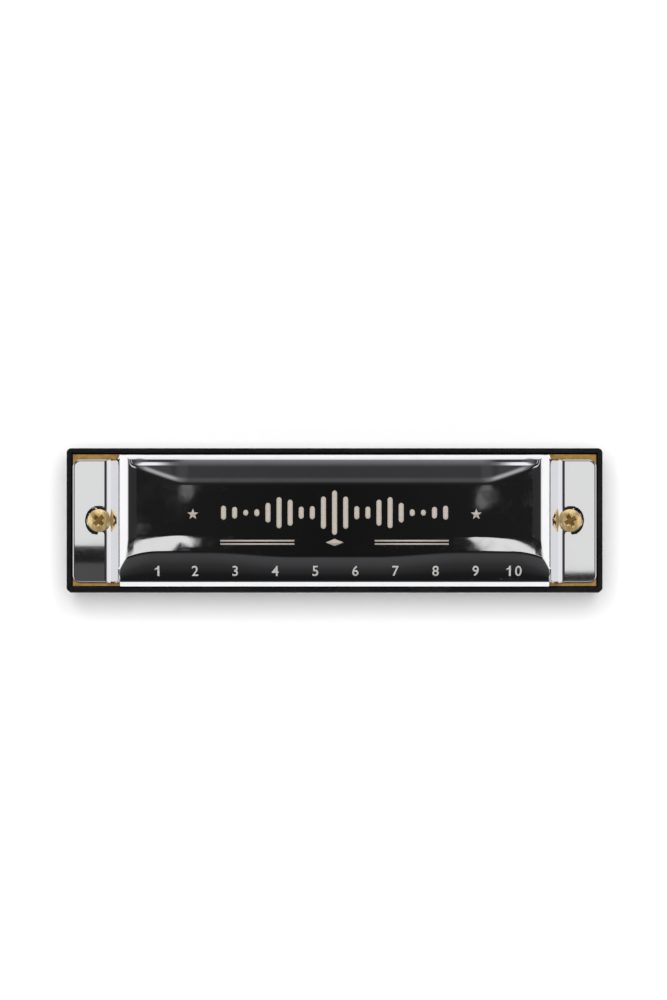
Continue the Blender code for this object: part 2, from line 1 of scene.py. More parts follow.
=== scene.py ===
"""The looks of a ten-hole diatonic harmonica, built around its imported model.

Units are metres. X runs along the instrument with hole 1 at -X, +Y points to the rear and +Z is up.
"""

import json
import math

import bmesh
import bpy
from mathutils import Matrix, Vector


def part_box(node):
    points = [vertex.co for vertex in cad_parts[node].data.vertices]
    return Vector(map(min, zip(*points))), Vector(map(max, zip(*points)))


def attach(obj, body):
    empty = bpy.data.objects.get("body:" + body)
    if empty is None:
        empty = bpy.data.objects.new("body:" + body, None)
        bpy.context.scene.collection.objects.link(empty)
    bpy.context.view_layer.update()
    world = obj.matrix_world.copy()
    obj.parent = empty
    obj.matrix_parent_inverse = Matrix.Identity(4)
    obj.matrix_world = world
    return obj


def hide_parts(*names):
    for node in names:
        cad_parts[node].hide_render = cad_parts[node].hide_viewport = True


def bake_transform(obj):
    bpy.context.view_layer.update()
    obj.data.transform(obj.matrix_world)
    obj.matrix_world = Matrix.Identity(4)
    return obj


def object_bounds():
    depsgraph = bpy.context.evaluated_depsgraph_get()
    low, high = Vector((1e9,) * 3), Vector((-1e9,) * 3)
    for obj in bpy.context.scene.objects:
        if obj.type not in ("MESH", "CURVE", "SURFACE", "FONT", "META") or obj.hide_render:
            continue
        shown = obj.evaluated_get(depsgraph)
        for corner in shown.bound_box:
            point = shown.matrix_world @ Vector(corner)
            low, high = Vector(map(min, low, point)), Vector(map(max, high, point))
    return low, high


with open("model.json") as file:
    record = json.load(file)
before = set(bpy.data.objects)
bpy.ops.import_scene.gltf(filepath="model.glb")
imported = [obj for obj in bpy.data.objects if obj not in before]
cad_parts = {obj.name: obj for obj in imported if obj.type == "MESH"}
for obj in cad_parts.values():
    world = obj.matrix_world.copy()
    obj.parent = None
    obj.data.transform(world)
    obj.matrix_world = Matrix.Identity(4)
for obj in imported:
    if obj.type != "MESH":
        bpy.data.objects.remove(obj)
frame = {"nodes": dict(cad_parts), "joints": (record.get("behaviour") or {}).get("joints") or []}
CAD_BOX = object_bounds()

MM = 0.001
TINY = 1e-6
SPECK = 1e-7
ARC_STEPS = 8
HOLES = 10
PITCH = 7.5 * MM
ROOT = "instrument"

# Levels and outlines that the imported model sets
COMB_LOW, COMB_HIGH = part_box("comb")
COVER_LOW, COVER_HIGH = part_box("upper_cover")
SCREW_LOW, SCREW_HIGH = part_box("cover_screw_right")
MID_Z = (CAD_BOX[0].z + CAD_BOX[1].z) / 2

# Covers. The skin stays just inside the model's box, so that the print on it does too.
PRINT_THICKNESS = 0.014 * MM
PRINT_LIFT = 0.004 * MM
SHEET = 0.4 * MM
COVER_TOP = COVER_HIGH.z - MID_Z - PRINT_THICKNESS - PRINT_LIFT - 0.001 * MM
TAB_TOP = 5.0 * MM
TAB_END_X = COVER_HIGH.x
TAB_FRONT_Y = -11.9 * MM
TAB_REAR_Y = 11.67 * MM
TAB_CORNER = 1.5 * MM
TAB_INNER_CORNER = 0.8 * MM
TAB_NARROW_Y = 9.5 * MM
EDGE_ROUNDING = 0.42 * MM
EDGE_ROUNDING_SHARE = 0.85
FILLET_START_X = 43.87 * MM
SLIT_OUTER_X = 41.05 * MM
SLIT_INNER_X = 40.75 * MM
SLIT_REAR_Y = -9.2 * MM
DROP_BLEND = 0.4 * MM
DROP_BLEND_FULL = 0.6 * MM

# Each pair is a distance along a profile in millimetres and the skin's slope there.
END_SLOPES = (
    (0.0, 0.0), (0.35, 0.05), (0.6, 0.35), (0.75, 0.55), (1.25, 0.62),
    (1.4, 1.13), (4.5, 1.16), (4.95, 0.045), (6.42, 0.028),
)
CROWN_SLOPES = ((0.0, 0.0), (1.05, 0.098), (1.85, 0.126), (4.5, 0.18))
STRIP_SLOPES = ((0.0, 0.22), (5.15, 0.84), (5.6, 0.2))
CREASE_X = FILLET_START_X - END_SLOPES[-1][0] * MM

# Front: a faint crown, the strip that carries the numbers, then a rolled lip with a short skirt
FRONT_DROP = 3.2 * MM
CROWN_START_Y = -2.68 * MM
STRIP_TOP_Y = -5.85 * MM
STRIP_DIP = 0.9 * MM
STRIP_DIP_REACH = 16 * MM
STRIP_DIP_END_X = 24 * MM
STRIP_END_DIP = 1.2 * MM
STRIP_END_START_X = 33 * MM
STRIP_END_REACH = 6.3 * MM
STRIP_END_X = 42.2 * MM
CREST_Y = -11.35 * MM
LIP_FRONT_Y = COVER_LOW.y
SKIRT_SLANT = 0.05 * MM
SKIRT_HEIGHT = 0.6 * MM
FRONT_LIP_TILTS = (20, 40, 46, 47, 48, 49, 50, 51, 52, 53, 54, 66)

# Rear: a scoop with a swept front edge that falls to a rolled lip
SCOOP_START_Y = 7.13 * MM
SCOOP_FALL = 0.7 * MM
SWEEP_START_X = 28.5 * MM
SWEEP_SLOPE = 0.37
SWEEP_ROUNDING = 1.5 * MM
RIDGE_MOST_Y = 9.85 * MM
FLANK_DROP = 0.17 * MM
FLANK_WIDTH = 1.1 * MM
FLANK_IN_MIDDLE = 0.15
FLANK_X = (27.5 * MM, 31.0 * MM)
CORNER_FALL_Y = (10.45 * MM, 11.05 * MM)
TURN_IN = 0.11 * MM
TURN_IN_START_Y = 10.2 * MM
SCOOP_END_X = (35.2 * MM, 38.8 * MM)
REAR_CREST_Y = 11.56 * MM
REAR_LIP_Y = COVER_HIGH.y
REAR_LIP_TILTS = (30, 38, 46, 53, 60, 66, 72, 78, 82, 86)
LIP_FADE_X = (39.9 * MM, 41.1 * MM)
LIP_FADE = 0.75

# Where each stretch of the covers' columns starts, from a tab's end inwards, and its step in millimetres
COLUMN_STRETCHES = (
    (TAB_END_X, 0.05), (49.3 * MM, 0.15), (44.0 * MM, 0.08), (SLIT_OUTER_X, 0.3), (SLIT_INNER_X, 0.1),
    (LIP_FADE_X[0], 0.05), (SCOOP_END_X[1], 0.15), (CREASE_X, 0.1), (35.9 * MM, 0.3), (26.0 * MM, 1.3),
)
PLATEAU_MIDDLE_Y = 3.2 * MM

# How the cover screws and nuts sit on the tabs
COVER_SCREW_X = (SCREW_LOW.x + SCREW_HIGH.x) / 2
DISH_OUTER = 2.5 * MM
DISH_INNER = 1.95 * MM
DISH_DEPTH = 0.05 * MM
SCREW_SEAT = MID_Z + TAB_TOP - 0.05 * MM
NUT_SEAT = MID_Z - TAB_TOP - 0.12 * MM
TAB_HOLE = 1.25 * MM


# Node materials


class Nodes:
    """Adds and links the nodes of one tree."""

    def __init__(self, tree, coordinates):
        self.tree = tree
        self.place = self.add("ShaderNodeTexCoord").outputs[coordinates]

    def add(self, kind, **settings):
        node = self.tree.nodes.new(kind)
        for name, value in settings.items():
            if hasattr(node, name):
                setattr(node, name, value)
            else:
                node.inputs[name.replace("_", " ")].default_value = value
        return node

    def link(self, source, target):
        self.tree.links.new(source, target)

    def along(self, axis):
        """The place along one axis."""
        node = self.add("ShaderNodeSeparateXYZ")
        self.link(self.place, node.inputs["Vector"])
        return node.outputs[axis]

    def aside(self, axis):
        """Distance from the middle along one axis."""
        node = self.add("ShaderNodeMath", operation="ABSOLUTE")
        self.link(self.along(axis), node.inputs[0])
        return node.outputs["Value"]

    def ranged(self, value, low, high, out_low, out_high):
        node = self.add("ShaderNodeMapRange", From_Min=low, From_Max=high, To_Min=out_low, To_Max=out_high)
        self.link(value, node.inputs["Value"])
        return node.outputs["Result"]

    def multiply(self, first, second):
        node = self.add("ShaderNodeMath", operation="MULTIPLY")
        self.link(first, node.inputs[0])
        self.link(second, node.inputs[1])
        return node.outputs["Value"]

    def mixed(self, factor, first, second):
        """A colour between two constant ones."""
        node = self.add("ShaderNodeMix", data_type="RGBA")
        node.inputs["A"].default_value = (*first, 1.0)
        node.inputs["B"].default_value = (*second, 1.0)
        self.link(factor, node.inputs["Factor"])
        return node.outputs["Result"]

    def joined(self, kind, first, second):
        """Two colours added or multiplied."""
        node = self.add("ShaderNodeMix", data_type="RGBA", blend_type=kind)
        node.inputs["Factor"].default_value = 1.0
        self.link(first, node.inputs["A"])
        self.link(second, node.inputs["B"])
        return node.outputs["Result"]

    def ramp(self, source, stops):
        """Very slightly blue greys from (position, level) pairs."""
        node = self.add("ShaderNodeValToRGB")
        elements = node.color_ramp.elements
        elements[0].position, elements[-1].position = stops[0][0], stops[-1][0]
        for position, _ in stops[1:-1]:
            elements.new(position)
        for element, (_, level) in zip(elements, stops):
            element.color = (level, level, level * 1.02, 1)
        self.link(source, node.inputs["Fac"])
        return node.outputs["Color"]


class Surface(Nodes):
    """The nodes of one new material."""

    def __init__(self, name):
        self.material = bpy.data.materials.new(name)
        self.material.use_nodes = True
        super().__init__(self.material.node_tree, "Object")
        self.shader = self.tree.nodes["Principled BSDF"]

    def set(self, **values):
        for name, value in values.items():
            self.shader.inputs[name.replace("_", " ")].default_value = value

    def stretched(self, scale):
        mapping = self.add("ShaderNodeMapping", Scale=scale)
        self.link(self.place, mapping.inputs["Vector"])
        return mapping.outputs["Vector"]

    def noise(self, scale, detail=3.0, roughness=0.5, vector=None):
        node = self.add("ShaderNodeTexNoise", Scale=scale, Detail=detail, Roughness=roughness)
        self.link(vector or self.place, node.inputs["Vector"])
        return node.outputs["Fac"]

    def bump(self, height, strength, distance, before=None):
        node = self.add("ShaderNodeBump", Strength=strength, Distance=distance)
        self.link(height, node.inputs["Height"])
        if before is not None:
            self.link(before, node.inputs["Normal"])
        return node.outputs["Normal"]


def chrome_material():
    """Bright plating on pressed sheet, with faint polishing lines, handling smudges and slight waves."""
    n = Surface("chrome_plate")
    n.set(Metallic=1.0)
    pressed = n.ranged(n.aside("X"), 38 * MM, 43 * MM, 1.0, 0.12)
    smudge = n.multiply(n.ranged(n.noise(210, 5, 0.6), 0.46, 0.74, 0.0, 1.0), pressed)
    n.link(n.ranged(smudge, 0.0, 1.0, 0.018, 0.06), n.shader.inputs["Roughness"])
    n.link(n.mixed(smudge, (0.86, 0.862, 0.868), (0.81, 0.813, 0.82)), n.shader.inputs["Base Color"])
    lines = n.noise(900, 4, 0.6, n.stretched((0.05, 1.0, 1.0)))
    wavy = n.bump(n.multiply(n.noise(85, 1.5, 0.4), pressed), 0.35, 0.02 * MM)
    n.link(n.bump(lines, 0.05, 0.003 * MM, wavy), n.shader.inputs["Normal"])
    return n.material


def comb_material():
    """Injection-moulded black plastic with a soft gloss, a fine moulded grain and a few rubbed places."""
    n = Surface("comb_plastic")
    n.set(IOR=1.46, Specular_IOR_Level=0.32)
    rubbed = n.ranged(n.noise(90, 5, 0.6), 0.45, 0.7, 0.0, 1.0)
    n.link(n.mixed(rubbed, (0.005, 0.005, 0.0055), (0.009, 0.009, 0.0095)), n.shader.inputs["Base Color"])
    n.link(n.ranged(rubbed, 0.0, 1.0, 0.24, 0.38), n.shader.inputs["Roughness"])
    grain = n.noise(5200, 2, 0.5)
    sink = n.noise(60, 1, 0.5)
    n.link(n.bump(grain, 0.25, 0.008 * MM, n.bump(sink, 0.3, 0.05 * MM)), n.shader.inputs["Normal"])
    return n.material


def brass_material(name, bright, dull, roughness, rolling, tarnish_scale=900, metallic=1.0):
    """Rolled brass: lines along X from the rolling, patches of tarnish, and a little roughness."""
    n = Surface(name)
    n.set(Metallic=metallic)
    tarnish = n.ranged(n.noise(tarnish_scale, 6, 0.65), 0.4, 0.72, 0.0, 1.0)
    n.link(n.mixed(tarnish, bright, dull), n.shader.inputs["Base Color"])
    n.link(n.ranged(tarnish, 0.0, 1.0, roughness, roughness + 0.16), n.shader.inputs["Roughness"])
    lines = n.noise(1400, 5, 0.7, n.stretched((0.03, 1.0, 1.0)))
    n.link(n.bump(lines, rolling, 0.01 * MM), n.shader.inputs["Normal"])
    return n.material


def nickel_material():
    """Thin nickel plating with small worn patches."""
    n = Surface("nickel_plate")
    n.set(Metallic=1.0)
    wear = n.ranged(n.noise(1200, 4, 0.6), 0.4, 0.7, 0.0, 1.0)
    n.link(n.mixed(wear, (0.70, 0.68, 0.62), (0.52, 0.50, 0.45)), n.shader.inputs["Base Color"])
    n.link(n.ranged(wear, 0.0, 1.0, 0.18, 0.34), n.shader.inputs["Roughness"])
    n.link(n.bump(n.noise(3000, 2, 0.5), 0.1, 0.005 * MM), n.shader.inputs["Normal"])
    return n.material


def ink_material(name, fresh, worn, speckle_scale, roughness):
    """Pad-printed ink: thin, matt, slightly uneven and speckled where it has worn."""
    n = Surface(name)
    uneven = n.ranged(n.noise(speckle_scale, 4, 0.65), 0.35, 0.7, 0.0, 1.0)
    n.link(n.mixed(uneven, fresh, worn), n.shader.inputs["Base Color"])
    n.link(n.ranged(uneven, 0.0, 1.0, *roughness), n.shader.inputs["Roughness"])
    n.link(n.bump(uneven, 0.2, 0.006 * MM), n.shader.inputs["Normal"])
    return n.material


MATERIALS = {
    "black_plastic": comb_material(),
    "chrome": chrome_material(),
    "plate_brass": brass_material(
        "plate_brass", (0.43, 0.25, 0.065), (0.27, 0.145, 0.035), roughness=0.34, rolling=0.35, metallic=0.3
    ),
    "reed_brass": brass_material(
        "reed_brass", (0.80, 0.62, 0.30), (0.62, 0.45, 0.19), roughness=0.20, rolling=0.25, tarnish_scale=400
    ),
    "screw_brass": brass_material(
        "screw_brass", (0.96, 0.74, 0.37), (0.68, 0.43, 0.15), roughness=0.06, rolling=0.12, metallic=0.7
    ),
    # A darker copy of the screw brass for the cross recesses: painted shade inside the recess
    "recess_shade_brass": brass_material(
        "recess_shade_brass", (0.30, 0.17, 0.045), (0.14, 0.08, 0.02), roughness=0.3, rolling=0.12, metallic=0.6
    ),
    "nickel": nickel_material(),
    "cream_print": ink_material("cream_print", (0.47, 0.42, 0.37), (0.40, 0.355, 0.31), 2600, (0.45, 0.62)),
    "number_print": ink_material("number_print", (0.5, 0.49, 0.475), (0.42, 0.41, 0.395), 3000, (0.42, 0.6)),
}


# Shared mesh tools


def new_object(name, data):
    made = bpy.data.objects.new(name, data)
    bpy.context.scene.collection.objects.link(made)
    return made


def shape_object(name, shape):
    """A new object from a finished shape."""
    mesh = bpy.data.meshes.new(name)
    shape.to_mesh(mesh)
    shape.free()
    return new_object(name, mesh)


def piece(name, shape, material, sharp=math.radians(32)):
    """A new smooth-shaded object with its material."""
    made = shape_object(name, shape)
    made.data.materials.append(MATERIALS[material])
    made.data.shade_smooth()
    made.data.set_sharp_from_angle(angle=sharp)
    return made


def apply_modifiers(obj):
    """Applies an object's modifiers to its mesh."""
    graph = bpy.context.evaluated_depsgraph_get()
    graph.update()
    mesh = bpy.data.meshes.new_from_object(obj.evaluated_get(graph))
    obj.modifiers.clear()
    obj.data = mesh


def middle_of(node):
    """A node's middle in plan."""
    low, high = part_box(node)
    return (low.x + high.x) / 2, (low.y + high.y) / 2


def hole_offset(number):
    """How many pitches a hole lies from the middle."""
    return number - (HOLES + 1) / 2


def arc(centre_x, centre_y, radius, start, sweep):
    """(x, y) points along an arc, with its angles in degrees."""
    turns = [math.radians(start + sweep * step / ARC_STEPS) for step in range(ARC_STEPS + 1)]
    return [(centre_x + radius * math.cos(turn), centre_y + radius * math.sin(turn)) for turn in turns]


def circle(centre, radius, sides):
    """(x, y) points of a regular outline."""
    turns = [2 * math.pi * (step + 0.5) / sides for step in range(sides)]
    return [(centre[0] + radius * math.cos(t), centre[1] + radius * math.sin(t)) for t in turns]


def add_prism(shape, outline, low, high):
    """Adds an upright prism over a flat outline."""
    ring = [shape.verts.new((x, y, low)) for x, y in outline]
    bottom = shape.faces.new(ring)
    raised = bmesh.ops.extrude_face_region(shape, geom=[bottom])["geom"]
    lifted = [item for item in raised if isinstance(item, bmesh.types.BMVert)]
    bmesh.ops.translate(shape, verts=lifted, vec=(0, 0, high - low))


def add_box(shape, low, high):
    outline = ((low[0], low[1]), (high[0], low[1]), (high[0], high[1]), (low[0], high[1]))
    add_prism(shape, outline, low[2], high[2])


def close_rings(shape, rings):
    """Joins rings of points into a closed shape with a cap at each end."""
    shape.faces.new(rings[0][::-1])
    shape.faces.new(rings[-1])
    for lower, upper in zip(rings, rings[1:]):
        for side in range(len(lower)):
            after = (side + 1) % len(lower)
            shape.faces.new((lower[side], lower[after], upper[after], upper[side]))


def turned(profile, sides):
    """A closed turned shape from (radius, height) pairs, bottom to top."""
    shape = bmesh.new()
    rings = []
    for radius, height in profile:
        rings.append([shape.verts.new((x, y, height)) for x, y in circle((0, 0), radius, sides)])
    close_rings(shape, rings)
    return shape


def cut(target, shape):
    """Cuts a shape out of an object and applies the cut."""
    bmesh.ops.recalc_face_normals(shape, faces=shape.faces)
    cutter = shape_object("cutter", shape)
    boolean = target.modifiers.new("cut", "BOOLEAN")
    boolean.operation = "DIFFERENCE"
    boolean.solver = "EXACT"
    boolean.object = cutter
    apply_modifiers(target)
    bpy.data.objects.remove(cutter)


def round_edges(obj, width, segments):
    """Eases every sharp edge of an object."""
    bevel = obj.modifiers.new("rounded_edges", "BEVEL")
    bevel.width = width
    bevel.segments = segments
    bevel.limit_method = "ANGLE"
    bevel.angle_limit = math.radians(40)
    bevel.harden_normals = True
    apply_modifiers(obj)


def stepped(start, end, step):
    """Evenly spaced values from start up to, but not including, end."""
    count = max(1, round(abs(end - start) / step))
    return [start + (end - start) * index / count for index in range(count)]


# Covers


def rise(slopes, distance):
    """Height gained at a distance along a profile of (place, slope) pairs, with places in millimetres."""
    gained = 0.0
    for (start, first), (end, second) in zip(slopes, slopes[1:]):
        span = end - start
        reach = min(max(distance / MM - start, 0.0), span)
        gained += reach * (first + (second - first) * reach / span / 2)
    return gained * MM


def smooth(low, high, value):
    """An even ease from 0 at low to 1 at high."""
    share = min(max((value - low) / (high - low), 0.0), 1.0)
    return share * share * (3 - 2 * share)


def softer_max(first, second, reach):
    """The larger of two values, blended where they are within reach of each other."""
    apart = abs(first - second)
    if apart >= reach:
        return max(first, second)
    return max(first, second) + (reach - apart) ** 2 / (4 * reach)


def ridge_y(x):
    """Front edge of the rear scoop: straight along the middle and sweeping to the rear near both ends."""
    past = max(abs(x) - SWEEP_START_X, 0.0)
    sweep = SWEEP_SLOPE * (math.hypot(past, SWEEP_ROUNDING) - SWEEP_ROUNDING)
    return min(SCOOP_START_Y + sweep, RIDGE_MOST_Y)


def scoop_drop(x, y):
    """The scoop's fall to the rear: a flank behind its ridge, an even floor and a turn before the lip."""
    depth = REAR_CREST_Y - SCOOP_START_Y
    past = max(y - ridge_y(x), 0.0)
    floor = SCOOP_FALL * past / depth
    near_end = smooth(*FLANK_X, abs(x))
    flank_share = FLANK_IN_MIDDLE + (1 - FLANK_IN_MIDDLE) * near_end
    flank = FLANK_DROP * flank_share * smooth(0.0, FLANK_WIDTH, past)
    corner_start, corner_end = CORNER_FALL_Y
    into_corner = min(max((y - corner_start) / (corner_end - corner_start), 0.0), 1.0)
    corner = SCOOP_FALL * (ridge_y(x) - SCOOP_START_Y) / depth * into_corner
    into_turn = max(y - TURN_IN_START_Y, 0.0) / (REAR_CREST_Y - TURN_IN_START_Y)
    turn_in = TURN_IN * (1 - near_end) * into_turn**2
    return (floor + flank + corner + turn_in) * (1 - smooth(*SCOOP_END_X, abs(x)))


END_RISE = rise(END_SLOPES, FILLET_START_X)
STRIP_LENGTH = STRIP_SLOPES[-1][0] * MM
STRIP_RISE = rise(STRIP_SLOPES, STRIP_LENGTH)


def end_drop(x):
    """Fall from the plateau to a tab."""
    return (COVER_TOP - TAB_TOP) * (1 - rise(END_SLOPES, FILLET_START_X - abs(x)) / END_RISE)


def strip_top_y(x):
    """Upper edge of the number strip: it dips in the middle and towards both ends."""
    near = min(abs(x), STRIP_END_X)
    middle_dip = STRIP_DIP * smooth(0.0, STRIP_DIP_REACH, STRIP_DIP_END_X - near)
    end_dip = STRIP_END_DIP * (max(near - STRIP_END_START_X, 0.0) / STRIP_END_REACH) ** 2
    return STRIP_TOP_Y - middle_dip - end_dip


def front_drop(x, y):
    """Fall from the plateau down the crown and the number strip."""
    top = strip_top_y(x)
    if y >= top:
        return rise(CROWN_SLOPES, CROWN_START_Y - y)
    at_top = rise(CROWN_SLOPES, CROWN_START_Y - top)
    up = rise(STRIP_SLOPES, (y - CREST_Y) * STRIP_LENGTH / (top - CREST_Y)) / STRIP_RISE
    return at_top + (FRONT_DROP - at_top) * (1 - up)


def outside_slit(x):
    """Whether a column belongs to a tab and not to the cover's pressed body."""
    return abs(x) > SLIT_INNER_X + TINY


def skin_level(x, y):
    """Height of a cover's outer skin over the mid-plane, without its rolled lips."""
    down_end = end_drop(x)
    joined = 1 - smooth(SLIT_OUTER_X, STRIP_END_X, abs(x))
    front_y = max(y, SLIT_REAR_Y) if outside_slit(x) else y
    down_front = front_drop(x, front_y) * joined
    blend = DROP_BLEND * min(1.0, min(down_end, down_front) / DROP_BLEND_FULL)
    return COVER_TOP - softer_max(down_end, down_front, max(blend, SPECK)) - scoop_drop(x, y)


def tab_edge_distance(x, y):
    """Distance inwards from a tab's rounded outline."""
    middle_y = (TAB_FRONT_Y + TAB_REAR_Y) / 2
    half_y = (TAB_REAR_Y - TAB_FRONT_Y) / 2
    beyond_x = abs(x) - (TAB_END_X - TAB_CORNER)
    beyond_y = abs(y - middle_y) - (half_y - TAB_CORNER)
    outside = math.hypot(max(beyond_x, 0.0), max(beyond_y, 0.0))
    return TAB_CORNER - outside - min(max(beyond_x, beyond_y), 0.0)


def tab_details(x, y, side):
    """How far a tab's skin drops for its rounded edges and, on the upper cover, for its screw's dish."""
    inwards = min(max(tab_edge_distance(x, y), 0.0), EDGE_ROUNDING)
    rounding = EDGE_ROUNDING - math.sqrt(EDGE_ROUNDING**2 - (EDGE_ROUNDING - inwards) ** 2)
    from_screw = math.hypot(abs(x) - COVER_SCREW_X, y)
    dish = DISH_DEPTH * (1 - smooth(DISH_INNER, DISH_OUTER, from_screw)) if side > 0 else 0.0
    away_from_wall = smooth(SLIT_OUTER_X, FILLET_START_X, abs(x))
    return rounding * EDGE_ROUNDING_SHARE * away_from_wall + dish


def corner_inset(radius, distance):
    """How far a rounded corner draws an edge in, at a distance from the corner's side."""
    near = max(radius - distance, 0.0)
    return radius - math.sqrt(radius**2 - min(near, radius) ** 2)


def tab_y(x, y):
    """Draws a row in to a tab's narrower outline and its rounded corners."""
    corner = corner_inset(TAB_CORNER, TAB_END_X - abs(x))
    if y < SLIT_REAR_Y:
        corner += corner_inset(TAB_INNER_CORNER, abs(x) - SLIT_OUTER_X)
        share = (SLIT_REAR_Y - y) / (SLIT_REAR_Y - LIP_FRONT_Y)
        return SLIT_REAR_Y + share * (TAB_FRONT_Y + corner - SLIT_REAR_Y)
    if y > TAB_NARROW_Y:
        share = (y - TAB_NARROW_Y) / (REAR_LIP_Y - TAB_NARROW_Y)
        return TAB_NARROW_Y + share * (TAB_REAR_Y - corner - TAB_NARROW_Y)
    return y


def cover_columns():
    """The x of every column of a cover's grid, closest where the sheet bends."""
    half = []
    ends = [start for start, _ in COLUMN_STRETCHES[1:]] + [0.0]
    for (start, step), end in zip(COLUMN_STRETCHES, ends):
        half += stepped(start, end, step * MM)
    return [-x for x in half] + [0.0] + half[::-1]


def lip_rows(crest, edge, tilts):
    """(y, drop) pairs of a rolled lip, from its crest to its edge, each step at its own tilt in degrees."""
    turns = [math.radians(tilt) for tilt in tilts]
    step = abs(edge - crest) / sum(math.cos(turn) for turn in turns)
    rows = []
    y, drop = crest, 0.0
    for turn in turns:
        y += math.copysign(step * math.cos(turn), edge - crest)
        drop += step * math.sin(turn)
        rows.append((y, drop))
    return rows


def cover_rows(x):
    """(y, extra drop) of one column's points, from the front lip to the rear lip."""
    rows = lip_rows(CREST_Y, LIP_FRONT_Y + SKIRT_SLANT, FRONT_LIP_TILTS)[::-1]
    rows.insert(0, (LIP_FRONT_Y, rows[0][1] + SKIRT_HEIGHT))
    corner_start, corner_end = CORNER_FALL_Y
    stretches = (
        (CREST_Y, 9), (SLIT_REAR_Y, 14), (strip_top_y(x), 20), (CROWN_START_Y, 18), (PLATEAU_MIDDLE_Y, 10),
        (ridge_y(x), 22), (corner_start, 8), (corner_end, 6), (REAR_CREST_Y, 0),
    )
    for (start, steps), (end, _) in zip(stretches, stretches[1:]):
        rows += [(start + (end - start) * step / steps, 0.0) for step in range(steps)]
    rows.append((REAR_CREST_Y, 0.0))
    return rows + lip_rows(REAR_CREST_Y, REAR_LIP_Y, REAR_LIP_TILTS)


def cover_point(x, row_y, extra, side):
    """Where a grid point lies on the upper cover (side 1) or the lower cover (side -1)."""
    level = skin_level(x, min(max(row_y, CREST_Y), REAR_CREST_Y))
    if outside_slit(x):
        y = tab_y(x, row_y)
        return x, y, MID_Z + side * (level - tab_details(x, y, side))
    if row_y > REAR_CREST_Y:
        extra *= 1 - LIP_FADE * smooth(*LIP_FADE_X, abs(x))
    return x, row_y, MID_Z + side * (level - extra)


def in_screw_hole(x, y):
    return math.hypot(abs(x) - COVER_SCREW_X, y) < TAB_HOLE


def round_screw_holes(shape):
    """Draws the open edge round each screw hole onto a true circle."""
    for vert in shape.verts:
        offset = Vector((abs(vert.co.x) - COVER_SCREW_X, vert.co.y))
        if vert.is_boundary and offset.length < TAB_HOLE + 0.4 * MM:
            offset = offset.normalized() * TAB_HOLE
            vert.co.x = math.copysign(COVER_SCREW_X + offset.x, vert.co.x)
            vert.co.y = offset.y


def cover_sheet(side):
    """A cover's outer skin as one open sheet, with its slits and screw holes left out."""
    shape = bmesh.new()
    columns = cover_columns()
    grid = []
    for x in columns:
        grid.append([shape.verts.new(cover_point(x, y, extra, side)) for y, extra in cover_rows(x)])
    slit_rows = sum(1 for y, _ in cover_rows(SLIT_INNER_X) if y < SLIT_REAR_Y)
    for i in range(len(columns) - 1):
        in_slit = SLIT_INNER_X < abs(columns[i] + columns[i + 1]) / 2 < SLIT_OUTER_X
        for j in range(slit_rows if in_slit else 0, len(grid[i]) - 1):
            corners = (grid[i][j], grid[i + 1][j], grid[i + 1][j + 1], grid[i][j + 1])
            middle = sum((vert.co for vert in corners), Vector()) / 4
            if not in_screw_hole(middle.x, middle.y):
                shape.faces.new(corners if side > 0 else corners[::-1])
    loose = [vert for vert in shape.verts if not vert.link_faces]
    bmesh.ops.delete(shape, geom=loose, context="VERTS")
    round_screw_holes(shape)
    return shape


def mark_creases(mesh):
    """Keeps the pressed line between each end's shoulder and the plateau crisp."""
    sharp = mesh.attributes["sharp_edge"].data
    for edge in mesh.edges:
        if all(abs(abs(mesh.vertices[index].co.x) - CREASE_X) < TINY for index in edge.vertices):
            sharp[edge.index].value = True


def make_cover(name, node, side):
    """A pressed chrome cover, given its sheet's thickness inwards."""
    cover = piece(name, cover_sheet(side), "chrome", math.radians(50))
    mark_creases(cover.data)
    solid = cover.modifiers.new("sheet_thickness", "SOLIDIFY")
    solid.thickness = SHEET
    solid.offset = -1.0
    solid.use_even_offset = True
    apply_modifiers(cover)
    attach(cover, ROOT)
    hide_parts(node)


# Printed marks

NUMBER_HEIGHT = 1.95 * MM
NUMBER_PITCH = 7.6 * MM
NUMBER_SHIFT = 0.15 * MM
NUMBER_END_SHIFT = 0.45 * MM
NUMBER_Y = -9.55 * MM
NUMBER_SLICE = 0.15 * MM
TEN_ONE_X = -0.85 * MM
TEN_ZERO_X = 0.95 * MM

# A numeral one in units of its height: an upright stem with a flag at its upper left
ONE_OUTLINE = (
    (0.0, -0.5), (0.2, -0.5), (0.2, 0.5), (0.04, 0.5),
    (-0.03, 0.33), (-0.24, 0.23), (-0.24, 0.08), (0.0, 0.17),
)

BARS_EACH_SIDE = 10
BAR_PITCH = 2.1 * MM
BAR_WIDTH = 0.95 * MM
BAR_HALF_HEIGHT = 4.2 * MM
BAR_MIDDLE_Y = 1.5 * MM
STAR_X = 26.8 * MM
STAR_Y = 1.2 * MM
STAR_RADIUS = 1.1 * MM
STAR_WAIST = 0.42
RULE_X = (7.6 * MM, 21.6 * MM)
RULE_YS = (-3.80 * MM, -4.43 * MM)
RULE_HALF_WIDTH = 0.15 * MM
LOZENGE_Y = -4.12 * MM
LOZENGE_HALF_X = 1.7 * MM
LOZENGE_HALF_Y = 0.67 * MM
ORNAMENT_SLICE = 0.5 * MM


def lay_on_cover(shape, lift):
    """Lays a flat shape, drawn in plan, on the upper cover's skin."""
    for vert in shape.verts:
        vert.co.z = MID_Z + skin_level(vert.co.x, vert.co.y) + lift


def slice_flat(shape, step):
    """Cuts a flat shape along X into strips so that it can follow the curved skin."""
    low_y = min(vert.co.y for vert in shape.verts)
    high_y = max(vert.co.y for vert in shape.verts)
    for y in stepped(low_y, high_y, step)[1:]:
        geometry = list(shape.verts) + list(shape.edges) + list(shape.faces)
        bmesh.ops.bisect_plane(shape, geom=geometry, plane_co=(0, y, 0), plane_no=(0, 1, 0), dist=SPECK)


